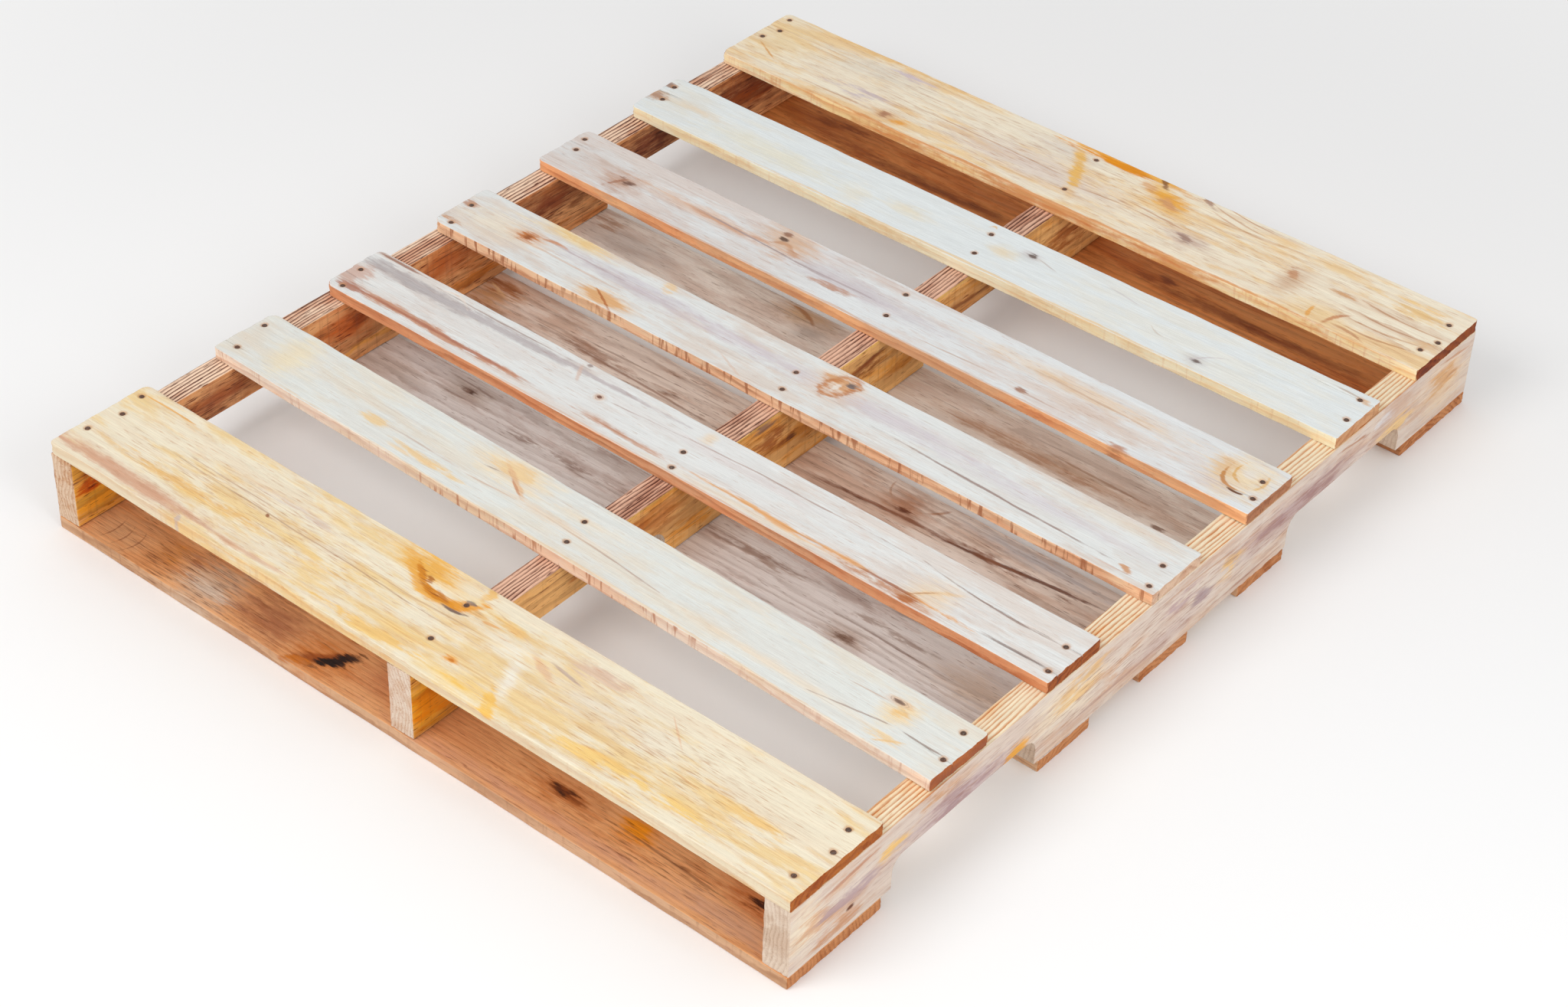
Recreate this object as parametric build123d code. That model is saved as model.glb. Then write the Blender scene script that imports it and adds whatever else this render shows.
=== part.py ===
"""Wooden stringer pallet: three notched stringers between a top deck and a bottom deck, all nailed.

Frame: origin on the floor at the centre of the footprint, +X along the deck boards,
+Y along the stringers from the front lead board to the back one, +Z up. Millimetres.
"""
from build123d import *
import os
from collections import namedtuple
from math import atan, degrees, radians, tan

os.makedirs("parts", exist_ok=True)

# ---------------------------------------------------------------- driving dimensions
pallet_length = 1219.2          # Y, 48 in
pallet_width = 1016.0           # X, 40 in
board_thickness = 15.1          # top and bottom boards, 5/8 in stock after drying
stringer_height = 85.7          # 3 3/8 in
stringer_width = 31.75          # 1 1/4 in
stringer_inset = 0.5            # stringers stop this far inside the boards' ends and lead edges

notch_start = 152.4             # from the stringer's end, 6 in
notch_length = 228.6            # 9 in
notch_depth = 38.1              # 1 1/2 in
notch_corner_radius = 19.0

centre_stringer_offset = 1.8    # X of the centre stringer's middle
centre_stringer_lean = 15.0     # how far its two ends differ in X, front end further right

nail_length = 50.8              # 2 in
nail_shank_radius = 1.42
nail_head_radius = 3.5
nail_head_thickness = 1.4
nail_point_length = 4.0
nail_sink = 0.6                 # heads are driven this far below the board's face
nail_stagger = 4.0              # neighbouring nails sit this far either side of the stringer's middle

# Worked out from the dimensions above
bottom_deck_top = board_thickness
stringer_top = bottom_deck_top + stringer_height
pallet_height = stringer_top + board_thickness
front_edge = -pallet_length / 2
back_edge = pallet_length / 2
side_stringer_x = pallet_width / 2 - stringer_inset - stringer_width / 2
stringer_length = pallet_length - 2 * stringer_inset

# ---------------------------------------------------------------- boards
# centre_y: the board's middle. run_out: how much further back its left end lies than its right end.
# nails: for the left, centre and right stringer, each nail's place across the board from its middle.
Board = namedtuple("Board", "name centre_y width length run_out nails")

front_lead_width = 136.5
back_lead_width = 133.5
bottom_lead_width = 139.7
deck_board_width = 89.5
last_deck_board_width = 92.0
bottom_board_width = 88.9

even_pair = (-22, 22)
even_three = (-45, 0, 45)

top_boards = [
    Board("top_lead_board_front", front_edge + front_lead_width / 2, front_lead_width, 1016, 0,
          ((50, 16, -25), (34, -25), (39, 7, -40))),
    Board("top_board_2", -346.0, deck_board_width, 1013, 22, ((22, -26), (14, -22), (29, -13))),
    Board("top_board_3", -170.0, deck_board_width, 1015, 5, ((2, -34), (-6, -34), (12, -29))),
    Board("top_board_4", 6.0, deck_board_width, 1016, 0, ((8, -34), (8, -26), (2, -34))),
    Board("top_board_5", 181.0, deck_board_width, 1015, 3, ((27, 3), (31, -16), (14, -17))),
    Board("top_board_6", 352.0, last_deck_board_width, 1014, -6, ((24, -7), (24, -20), (33, -8))),
    Board("top_lead_board_back", back_edge - back_lead_width / 2, back_lead_width, 1016, 0,
          ((54, 25, 0), (48, -30), (35, -3, -28))),
]

bottom_boards = [
    Board("bottom_lead_board_front", front_edge + bottom_lead_width / 2, bottom_lead_width, 1016, 0,
          (even_three, even_three, even_three)),
    Board("bottom_board_2", -176.5, bottom_board_width, 1016, 0, (even_pair, even_pair, even_pair)),
    Board("bottom_board_3", 0.0, bottom_board_width, 1014, -3, (even_pair, even_pair, even_pair)),
    Board("bottom_board_4", 184.0, bottom_board_width, 1015, 2, (even_pair, even_pair, even_pair)),
    Board("bottom_lead_board_back", back_edge - bottom_lead_width / 2, bottom_lead_width, 1016, 0,
          (even_three, even_three, even_three)),
]


# ---------------------------------------------------------------- where things are
def board_turn(board):
    """Angle about Z, in degrees, that carries the left end back by run_out."""
    return -degrees(atan(board.run_out / pallet_width))


def board_middle_y(board, x):
    """Y of the board's centre line at a given X."""
    return board.centre_y + x * tan(radians(board_turn(board)))


def centre_stringer_turn():
    """Angle about Z, in degrees, that carries the front end to the right."""
    return degrees(atan(centre_stringer_lean / pallet_length))


def stringer_middle_x(side, y):
    """X of a stringer's centre line at a given Y; side is 0 left, 1 centre, 2 right."""
    if side == 1:
        return centre_stringer_offset - y * tan(radians(centre_stringer_turn()))
    return side_stringer_x * (side - 1)


def nail_places(board):
    """(side, x, y) of every nail in a board."""
    places = []
    for side in range(3):
        board_y = board_middle_y(board, stringer_middle_x(side, board.centre_y))
        for count, across in enumerate(board.nails[side]):
            y = board_y + across
            stagger = nail_stagger if count % 2 else -nail_stagger
            places.append((side, stringer_middle_x(side, y) + stagger, y))
    return places


# ---------------------------------------------------------------- solids
def make_nail():
    """One nail pointing down from the origin, which is the middle of its head's top."""
    shank_length = nail_length - nail_head_thickness - nail_point_length
    point_base = -nail_head_thickness - shank_length
    head = Pos(0, 0, -nail_head_thickness / 2) * Cylinder(nail_head_radius, nail_head_thickness)
    shank = Pos(0, 0, point_base + shank_length / 2) * Cylinder(nail_shank_radius, shank_length)
    point = Pos(0, 0, point_base - nail_point_length / 2) * Cone(0.2, nail_shank_radius, nail_point_length)
    return head + shank + point


def nail_location(place, from_top):
    """Where a nail sits: driven down through the top deck or up through the bottom deck."""
    _, x, y = place
    if from_top:
        return Pos(x, y, pallet_height - nail_sink)
    return Pos(x, y, nail_sink) * Rot(180, 0, 0)


def nail_cutter():
    """The space a nail takes in the wood, with the dimple left above its sunken head."""
    dimple = Pos(0, 0, nail_sink / 2) * Cylinder(nail_head_radius, nail_sink)
    return make_nail() + dimple


def cut_nails(wood, places, from_top):
    cutters = [nail_location(place, from_top) * nail_cutter() for place in places]
    return wood - cutters


def make_board(board, from_top):
    """A plain sawn board with its nail holes; from_top is False for the bottom deck."""
    middle_z = pallet_height - board_thickness / 2 if from_top else board_thickness / 2
    blank = Box(board.length, board.width, board_thickness)
    placed = Pos(0, board.centre_y, middle_z) * Rot(0, 0, board_turn(board)) * blank
    return cut_nails(placed, nail_places(board), from_top)


def make_notch(direction):
    """Cutter for one fork notch; direction is -1 for the front notch, 1 for the back one."""
    middle_y = direction * (pallet_length / 2 - notch_start - notch_length / 2)
    roof = bottom_deck_top + notch_depth
    cutter = Box(2 * stringer_width, notch_length, 2 * notch_depth)
    roof_edges = cutter.edges().filter_by(Axis.X).group_by(Axis.Z)[-1]
    return Pos(0, middle_y, roof - notch_depth) * fillet(roof_edges, notch_corner_radius)


def make_stringer(side):
    """A notched stringer in its place, with the holes of every nail that reaches it."""
    blank = Pos(0, 0, bottom_deck_top + stringer_height / 2) * Box(stringer_width, stringer_length, stringer_height)
    blank = blank - make_notch(-1) - make_notch(1)
    turn = centre_stringer_turn() if side == 1 else 0
    wood = Pos(stringer_middle_x(side, 0), 0, 0) * Rot(0, 0, turn) * blank
    for boards, from_top in ((top_boards, True), (bottom_boards, False)):
        for board in boards:
            here = [place for place in nail_places(board) if place[0] == side]
            wood = cut_nails(wood, here, from_top)
    return wood


def make_nail_group(board, from_top):
    """Every nail of one board, as separate solids."""
    return Compound([nail_location(place, from_top) * make_nail() for place in nail_places(board)])


# ---------------------------------------------------------------- write one file per piece
for side, name in enumerate(("stringer_left", "stringer_centre", "stringer_right")):
    export_step(make_stringer(side), f"parts/{name}.step")

for boards, from_top in ((top_boards, True), (bottom_boards, False)):
    for board in boards:
        export_step(make_board(board, from_top), f"parts/{board.name}.step")
        export_step(make_nail_group(board, from_top), f"parts/nails_{board.name}.step")
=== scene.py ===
from collections import namedtuple
from math import cos, pi, radians, sin

import bpy
import numpy as np
from mathutils import Matrix, Vector


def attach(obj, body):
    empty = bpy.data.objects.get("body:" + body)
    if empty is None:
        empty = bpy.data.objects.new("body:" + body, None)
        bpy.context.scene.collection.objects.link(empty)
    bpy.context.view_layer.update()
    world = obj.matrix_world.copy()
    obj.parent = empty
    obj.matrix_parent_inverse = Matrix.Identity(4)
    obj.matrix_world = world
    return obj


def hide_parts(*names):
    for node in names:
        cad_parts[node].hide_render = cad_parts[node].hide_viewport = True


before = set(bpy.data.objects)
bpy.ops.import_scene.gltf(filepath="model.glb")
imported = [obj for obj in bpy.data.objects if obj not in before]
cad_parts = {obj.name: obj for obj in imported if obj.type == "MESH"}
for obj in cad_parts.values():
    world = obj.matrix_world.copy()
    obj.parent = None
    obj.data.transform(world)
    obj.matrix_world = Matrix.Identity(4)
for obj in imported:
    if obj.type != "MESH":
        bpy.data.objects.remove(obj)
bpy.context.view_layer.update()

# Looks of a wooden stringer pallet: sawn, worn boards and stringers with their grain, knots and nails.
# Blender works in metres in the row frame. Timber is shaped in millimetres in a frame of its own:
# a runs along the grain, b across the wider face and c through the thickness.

MM = 0.001

# ---------------------------------------------------------------- sizes in millimetres
NAIL_LENGTH = 50.8
NAIL_HEAD_RADIUS = 3.1
NAIL_HEAD_THICKNESS = 1.4
NAIL_HEAD_DOME = 0.25
NAIL_SHANK_RADIUS = 1.42
NAIL_POINT_LENGTH = 4.0
NAIL_SINK = (0.3, 0.42)         # least and most that a head lies below the CAD's
NAIL_TILT = 1.6                 # most that a nail leans, in degrees
NAIL_SPACING = 9.0              # CAD points nearer than this belong to the same nail
DIMPLE_RADIUS = 4.8             # crushed wood round a sunken head
DIMPLE_DEPTH = 0.95
RUST_SPREAD = 4.3

NOTCH_START = 152.4             # from the stringer's end
NOTCH_LENGTH = 228.6
NOTCH_DEPTH = 38.1
NOTCH_CORNER_RADIUS = 19.0

EDGE_LINES = (0.3, 0.75, 1.4, 2.4)      # mesh lines next to every sawn edge
NAIL_LINES = (0, 1.2, 2.3, 3.1, 4.0, 5.0)       # mesh lines on both sides of every nail
BOARD_STEPS = (9.0, 3.6, 2.6)   # spacing of the plain mesh lines along a, b and c
STRINGER_STEPS = (14.0, 5.0, 3.2)
NOTCH_STEP = 5.0                # the same up the side of a notch
FAN_PASSES = 14                 # smoothing passes that fan a stringer's mesh lines out above its notches

EDGE_ROUNDING = 1.0
LEAST_ROUNDING = 0.35
EDGE_SWAY = 0.9                 # how far the long edges wander inwards
END_FRAY = 1.1                  # how deep the saw-torn ends are
END_FRAY_LENGTH = 9.0
FACE_RELIEF = 0.3
SPLIT_DEPTH = 5.5
SPLIT_WANDER = 1.1


# ================================================================ timber in its own frame
Place = namedtuple("Place", "centre axes half")     # axes: rows are the a, b and c directions


def node_points(node):
    """Corners of a CAD node's mesh, in millimetres."""
    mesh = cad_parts[node].data
    points = np.empty(len(mesh.vertices) * 3)
    mesh.vertices.foreach_get("co", points)
    return points.reshape(-1, 3) / MM


def measure(node, along):
    """Where a CAD board (along X, 0) or stringer (along Y, 1) lies, and its half sizes."""
    points = node_points(node)
    other = 1 - along
    reach = points[:, along]
    end_slack = 3.0
    ends = []
    for at_end in (reach < reach.min() + end_slack, reach > reach.max() - end_slack):
        across = points[at_end, other]
        end = np.zeros(3)
        end[along] = points[at_end, along].mean()
        end[other] = (across.min() + across.max()) / 2
        ends.append(end)
    a_axis = (ends[1] - ends[0]) / np.linalg.norm(ends[1] - ends[0])
    up = np.array((0.0, 0.0, 1.0))
    if along == 0:
        axes = np.stack((a_axis, np.cross(up, a_axis), up))
    else:
        axes = np.stack((a_axis, up, np.cross(a_axis, up)))
    local = points @ axes.T
    low, high = local.min(0), local.max(0)
    return Place((low + high) / 2 @ axes, axes, (high - low) / 2)


def nail_centres(node):
    """Middle of every nail in a CAD nail group: (x, y) in millimetres."""
    groups = []
    for x, y in node_points(node)[:, :2]:
        near = [g for g in groups if max(abs(g[0][0] - x), abs(g[0][1] - y)) < NAIL_SPACING]
        if near:
            near[0].append((x, y))
        else:
            groups.append([(x, y)])
    centres = [(np.min(g, axis=0) + np.max(g, axis=0)) / 2 for g in groups]
    return sorted(tuple(c) for c in centres)


def ripple(seed, waves, *coords):
    """Smooth random values between about -1 and 1; waves holds a typical wavelength for each coordinate."""
    rng = np.random.default_rng(seed)
    total = 0.0
    for _ in range(7):
        angle = rng.uniform(0, 2 * pi)
        for coord, wave in zip(coords, waves):
            angle = angle + coord * (2 * pi / wave) * rng.uniform(0.4, 1.7) * rng.choice((-1, 1))
        total = total + np.sin(angle)
    return total / 4


def ramp(value, low, high):
    """0 below low, 1 above high, smooth between."""
    t = np.clip((value - low) / (high - low), 0, 1)
    return t * t * (3 - 2 * t)


# ---------------------------------------------------------------- mesh lines
def lines_across(half, step, extra=()):
    """Places from -half to half: close together by both edges, else about step apart, and the extra ones."""
    inner = half - EDGE_LINES[-1]
    count = max(2, round(2 * inner / step) + 1)
    plain = list(np.linspace(-inner, inner, count))
    for edge in (0,) + EDGE_LINES[:-1]:
        plain += [edge - half, half - edge]
    least_gap, room = 0.3, 0.6
    kept = []
    for line in sorted(line for line in extra if abs(line) < half - 0.1):
        if not kept or line - kept[-1] > least_gap:
            kept.append(line)
    plain = [p for p in plain if abs(p) > inner + 0.01 or all(abs(p - line) > room for line in kept)]
    return np.array(sorted(set(plain) | set(kept)))


def box_surface(shape):
    """Grid indexes and outward quads of the surface of a block with shape = lines each way."""
    corners = []
    for axis in range(3):
        u, v = (axis + 1) % 3, (axis + 2) % 3
        uu, vv = np.meshgrid(np.arange(shape[u] - 1), np.arange(shape[v] - 1), indexing="ij")
        uu, vv = uu.ravel(), vv.ravel()
        for level in (0, shape[axis] - 1):
            turn = ((0, 0), (1, 0), (1, 1), (0, 1)) if level else ((0, 0), (0, 1), (1, 1), (1, 0))
            quad = np.zeros((len(uu), 4, 3), int)
            for corner, (du, dv) in enumerate(turn):
                quad[:, corner, axis] = level
                quad[:, corner, u] = uu + du
                quad[:, corner, v] = vv + dv
            corners.append(quad)
    quads = np.concatenate(corners)
    keys = (quads[..., 0] * shape[1] + quads[..., 1]) * shape[2] + quads[..., 2]
    unique, faces = np.unique(keys, return_inverse=True)
    index = np.stack(np.unravel_index(unique, shape), 1)
    return index, faces.reshape(-1, 4)


# ---------------------------------------------------------------- wear
Wear = namedtuple("Wear", "corners wane splits cup")
# corners: plan radius of the (-a,-b), (-a,+b), (+a,-b), (+a,+b) corners
# wane: (a, length, b side, depth) stretches where an edge is missing bark or is splintered
# splits: (b at the end, a side, length, width) cracks that run in from an end
PLAIN_WEAR = Wear((2, 2, 2, 2), (), (), 0.3)


def round_edges(points, half, seed, wane):
    """Round every sawn edge by a small, uneven radius, and more where there is wane."""
    a, b, c = points.T
    which_edge = 25 * np.sign(b) + 60 * np.sign(c)
    radius = EDGE_ROUNDING * (1 + 0.5 * ripple(seed, (70, 40), a, which_edge))
    radius = np.maximum(radius, LEAST_ROUNDING)
    for centre, length, side, depth in wane:
        ragged = 1 + 0.35 * ripple(seed + 5, (9,), a)
        here = (np.sign(b) == side) * (c > 0) * np.exp(-((a - centre) / length) ** 2)
        radius = radius + depth * here * ragged
    limit = half - radius[:, None]
    inner = np.clip(points, -limit, limit)
    offset = points - inner
    reach = np.linalg.norm(offset, axis=1)
    shrink = np.where(reach > radius, radius / np.maximum(reach, 1e-9), 1)
    return inner + offset * shrink[:, None]


def round_corners(points, half, corners, seed):
    """Round the four upright corners of a board as seen from above."""
    points = points.copy()
    for number, radius in enumerate(corners):
        side_a, side_b = (-1, 1)[number // 2], (-1, 1)[number % 2]
        over_a = side_a * points[:, 0] - (half[0] - radius)
        over_b = side_b * points[:, 1] - (half[1] - radius)
        near = (over_a > 0) & (over_b > 0)
        level = points[near, 2]
        ragged = 1 + 0.12 * ripple(seed + number, (9,), level)
        longest = np.maximum(over_a[near], over_b[near])
        shrink = longest / np.hypot(over_a[near], over_b[near]) * np.minimum(ragged, 1)
        points[near, 0] = side_a * (half[0] - radius + over_a[near] * shrink)
        points[near, 1] = side_b * (half[1] - radius + over_b[near] * shrink)
    return points


def weather(points, half, seed, cup):
    """Wandering edges, torn ends and a little relief, all of it inwards so the sawn size holds."""
    a, b, c = points.T
    sway = EDGE_SWAY * (0.5 + 0.5 * ripple(seed + 11, (230, 50), a, 30 * np.sign(b)))
    sway = np.clip(sway, 0, 1.4 * EDGE_SWAY)
    b = b * (1 - sway / half[1])
    near_end = ramp(np.abs(a), half[0] - END_FRAY_LENGTH, half[0])
    side = np.sign(a)
    sawn_a, sawn_b = points[:, 0], points[:, 1]
    fray = ripple(seed + 21, (26, 9), sawn_b + 200 * side, c)
    fray = fray + 0.5 * ripple(seed + 22, (5, 4), sawn_b, c)
    a = a - side * near_end * END_FRAY * np.clip(0.55 + 0.4 * fray, 0, 1.4)
    relief = FACE_RELIEF * np.clip(0.5 + 0.5 * ripple(seed + 31, (120, 35), sawn_a, sawn_b), 0, 1)
    hollow = cup * (1 - (sawn_b / half[1]) ** 2) * (c > 0)
    c = c * (1 - relief / half[2]) - hollow * (1 + c / half[2]) / 2
    return np.stack((a, b, c), 1)


def open_splits(points, grid_a, grid_b, half, splits, seed):
    """Sink the mesh line that follows each end split; gives the new points and how much painted shade each
    one gets.
    """
    points = points.copy()
    crack = np.zeros(len(points))
    for number, (split_b, side, length, width) in enumerate(splits):
        inwards = half[0] - side * grid_a
        strength = 1 - ramp(inwards, 0.25 * length, length)
        wander = SPLIT_WANDER * ripple(seed + 41 + number, (60,), grid_a)
        on_line = np.abs(grid_b - split_b) < 0.01
        beside = np.abs(np.abs(grid_b - split_b) - width) < 0.01
        points[on_line | beside, 1] += wander[on_line | beside]
        height = (points[:, 2] + half[2]) / (2 * half[2])
        sunk = on_line & (strength > 0)
        points[sunk, 2] -= (height * SPLIT_DEPTH * strength)[sunk]
        crack[on_line] = np.maximum(crack[on_line], np.sqrt(strength[on_line]))
    return points, crack


def press_nails(points, nails, face):
    """Dimple the face (+1 top, -1 underside) round each nail; gives the new points and their rust stain."""
    points = points.copy()
    rust = np.zeros(len(points))
    on_face = face * points[:, 2] > 0
    for nail_a, nail_b in nails:
        distance = np.hypot(points[:, 0] - nail_a, points[:, 1] - nail_b)
        dimple = DIMPLE_DEPTH * (1 - ramp(distance, NAIL_HEAD_RADIUS, DIMPLE_RADIUS))
        points[:, 2] -= np.where(on_face, face * dimple, 0)
        rust = np.maximum(rust, np.where(on_face, np.exp(-(distance / RUST_SPREAD) ** 2), 0))
    return points, rust


# ---------------------------------------------------------------- meshes
def add_object(name, data):
    piece = bpy.data.objects.new(name, data)
    bpy.context.scene.collection.objects.link(piece)
    return piece


def add_mesh(name, points, faces):
    """Smooth mesh object from points in millimetres."""
    mesh = bpy.data.meshes.new(name)
    mesh.from_pydata((points * MM).tolist(), [], faces)
    mesh.polygons.foreach_set("use_smooth", [True] * len(mesh.polygons))
    return add_object(name, mesh)


def add_timber(name, points, faces, place, crack, rust):
    """Mesh object from points in a timber's own frame; crack and rust tell the material where those are."""
    piece = add_mesh(name, place.centre + points @ place.axes, faces.tolist())
    for attribute, values in (("crack", crack), ("rust", rust)):
        layer = piece.data.attributes.new(attribute, "FLOAT", "POINT")
        layer.data.foreach_set("value", np.asarray(values, np.float32))
    return piece


def lines_near_nails(nails, coordinate):
    return [nail[coordinate] + side * line for nail in nails for line in NAIL_LINES for side in (-1, 1)]


def build_board(node, nail_node, face, wear, seed):
    """A sawn board with dimpled nails and split ends; face is +1 for the top deck, -1 for the bottom deck."""
    place = measure(node, 0)
    nails = []
    for x, y in nail_centres(nail_node):
        local = place.axes @ (np.array((x, y, place.centre[2])) - place.centre)
        nails.append((local[0], local[1]))
    split_lines = [s[0] + offset * s[3] for s in wear.splits for offset in (-1, 0, 1)]
    room = 0.8
    b_extra = [b for b in lines_near_nails(nails, 1) if all(abs(b - s) > room for s in split_lines)]
    a_lines = lines_across(place.half[0], BOARD_STEPS[0], lines_near_nails(nails, 0))
    b_lines = lines_across(place.half[1], BOARD_STEPS[1], b_extra + split_lines)
    c_lines = lines_across(place.half[2], BOARD_STEPS[2])
    index, faces = box_surface((len(a_lines), len(b_lines), len(c_lines)))
    grid = np.stack((a_lines[index[:, 0]], b_lines[index[:, 1]], c_lines[index[:, 2]]), 1)
    points = round_edges(grid, place.half, seed, wear.wane)
    points = weather(points, place.half, seed, wear.cup)
    points = round_corners(points, place.half, wear.corners, seed)
    points, crack = open_splits(points, grid[:, 0], grid[:, 1], place.half, wear.splits, seed)
    points, rust = press_nails(points, nails, face)
    return add_timber(node + "_wood", points, faces, place, crack, rust), place


def arc(centre_a, centre_rise, radius, start, end, count):
    """Points (a, rise) on an arc, angles in degrees."""
    angles = np.radians(np.linspace(start, end, count))
    return [(centre_a + radius * cos(t), centre_rise + radius * sin(t)) for t in angles]


def straight(start, end, step):
    """Points from start up to, not including, end, about step apart."""
    start, end = np.array(start, float), np.array(end, float)
    count = max(1, round(np.linalg.norm(end - start) / step))
    return [tuple(start + (end - start) * i / count) for i in range(count)]


def notched_underside(half_length):
    """Outline of a stringer's underside from front to back: (a, rise above its lowest face)."""
    radius = NOTCH_CORNER_RADIUS
    near = -half_length + NOTCH_START
    far = near + NOTCH_LENGTH
    wall_top = NOTCH_DEPTH - radius
    step = STRINGER_STEPS[0]
    chamfer = 0.6
    outline = [(-half_length + e, 0) for e in (0,) + EDGE_LINES]
    outline += straight((-half_length + 8, 0), (near - 2, 0), step) + [(near - 2, 0), (near - chamfer, 0)]
    outline += [(near, chamfer)] + straight((near, 4), (near, wall_top), NOTCH_STEP)
    outline += arc(near + radius, wall_top, radius, 180, 90, 9)
    outline += straight((near + radius + 8, NOTCH_DEPTH), (far - radius - 6, NOTCH_DEPTH), step)
    outline += arc(far - radius, wall_top, radius, 90, 0, 9)
    outline += straight((far, wall_top - 5), (far, 2), NOTCH_STEP)
    outline += [(far, chamfer), (far + chamfer, 0), (far + 2, 0)]
    outline += straight((far + 12, 0), (0, 0), step)
    front_half = np.array(outline)
    back_half = front_half[::-1] * (-1, 1)
    return np.concatenate((front_half, [(0, 0)], back_half))


def build_stringer(node, wear, seed):
    """A stringer with two rounded notches, its mesh lines fanned round each notch."""
    place = measure(node, 1)
    outline = notched_underside(place.half[0])
    low_a, rise = outline.T
    high_a = low_a.copy()
    for _ in range(FAN_PASSES):
        high_a[1:-1] = (high_a[:-2] + 2 * high_a[1:-1] + high_a[2:]) / 4
    fixed = len(EDGE_LINES) + 1
    high_a[:fixed], high_a[-fixed:] = low_a[:fixed], low_a[-fixed:]
    high_a = np.maximum.accumulate(high_a + 1e-4 * np.arange(len(high_a)))
    b_lines = lines_across(place.half[1], STRINGER_STEPS[1])
    c_lines = lines_across(place.half[2], STRINGER_STEPS[2])
    index, faces = box_surface((len(outline), len(b_lines), len(c_lines)))
    share = (b_lines[index[:, 1]] + place.half[1]) / (2 * place.half[1])
    grid_a = low_a[index[:, 0]] * (1 - share) + high_a[index[:, 0]] * share
    grid_a = np.clip(grid_a, -place.half[0], place.half[0])
    grid = np.stack((grid_a, b_lines[index[:, 1]], c_lines[index[:, 2]]), 1)
    points = round_edges(grid, place.half, seed, wear.wane)
    points = weather(points, place.half, seed, 0)
    share = (points[:, 1] + place.half[1]) / (2 * place.half[1])
    lift = rise[index[:, 0]]
    points[:, 1] = -place.half[1] + lift + share * (2 * place.half[1] - lift)
    nothing = np.zeros(len(points))
    return add_timber(node + "_wood", points, faces, place, nothing, nothing), place


# ---------------------------------------------------------------- nails
def nail_surface(rng):
    """Points and faces of one nail that hangs from the middle of its head: domed head, twisted shank."""
    around = 20
    rim, dome, shank = NAIL_HEAD_RADIUS, NAIL_HEAD_DOME, NAIL_SHANK_RADIUS
    profile = [(0.05, dome), (rim * 0.35, dome * 0.93), (rim * 0.7, dome * 0.6), (rim * 0.93, 0.02)]
    profile += [(rim, -0.3), (rim, -0.8), (rim * 0.9, -1.15), (shank * 1.3, -NAIL_HEAD_THICKNESS)]
    straight_end = -NAIL_LENGTH + NAIL_POINT_LENGTH
    profile += [(shank, z) for z in np.linspace(-NAIL_HEAD_THICKNESS - 1, straight_end, 26)]
    profile += [(shank * 0.55, -NAIL_LENGTH + 1.6), (0.08, -NAIL_LENGTH)]
    radius, height = np.array(profile).T
    angle = np.arange(around) * 2 * pi / around
    angles, radii = np.meshgrid(angle, radius)
    heights = np.repeat(height[:, None], around, 1)
    on_shank = (heights < -NAIL_HEAD_THICKNESS) & (heights > straight_end)
    thread = np.where(on_shank, 1 - 0.09 * (0.5 + 0.5 * np.cos(4 * angles + heights * 0.55)), 1)
    on_head = heights > -NAIL_HEAD_THICKNESS
    dent = np.where(on_head, 1 - 0.03 * (1 + np.sin(3 * angles + rng.uniform(0, 6))), 1)
    x = radii * np.cos(angles) * thread * dent
    y = radii * np.sin(angles) * thread * dent
    points = np.stack((x, y, heights), -1).reshape(-1, 3)
    faces = []
    for row in range(len(profile) - 1):
        for column in range(around):
            after = (column + 1) % around
            turn = ((row, column), (row + 1, column), (row + 1, after), (row, after))
            faces.append(tuple(level * around + step for level, step in turn))
    faces.append(tuple(range(around)))
    faces.append(tuple(reversed(range((len(profile) - 1) * around, len(profile) * around))))
    return points, faces


def build_nails(node, face, seed):
    """All nails of one board, each turned and tipped a little; face is +1 where they go in from above."""
    rng = np.random.default_rng(seed)
    corners = node_points(node)
    head_level = corners[:, 2].max() if face > 0 else corners[:, 2].min()
    vertices, faces = [], []
    for x, y in nail_centres(node):
        points, nail_faces = nail_surface(rng)
        tilt = Matrix.Rotation(radians(rng.uniform(-NAIL_TILT, NAIL_TILT)), 3, "X")
        turn = Matrix.Rotation(rng.uniform(0, 6), 3, "Z")
        points = points @ np.array(tilt @ turn).T
        points[:, 2] -= rng.uniform(*NAIL_SINK)
        if face < 0:
            points[:, 1:] *= -1
        start = len(vertices)
        vertices += (points + (x, y, head_level)).tolist()
        faces += [tuple(start + corner for corner in corners) for corners in nail_faces]
    return add_mesh(node + "_steel", np.array(vertices), faces)


# ================================================================ materials
def srgb(red, green, blue):
    """A colour written as 0 to 255 screen values, as linear light with alpha."""
    shares = [value / 255 for value in (red, green, blue)]
    linear = [s / 12.92 if s <= 0.04045 else ((s + 0.055) / 1.055) ** 2.4 for s in shares]
    return (*linear, 1.0)


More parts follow.
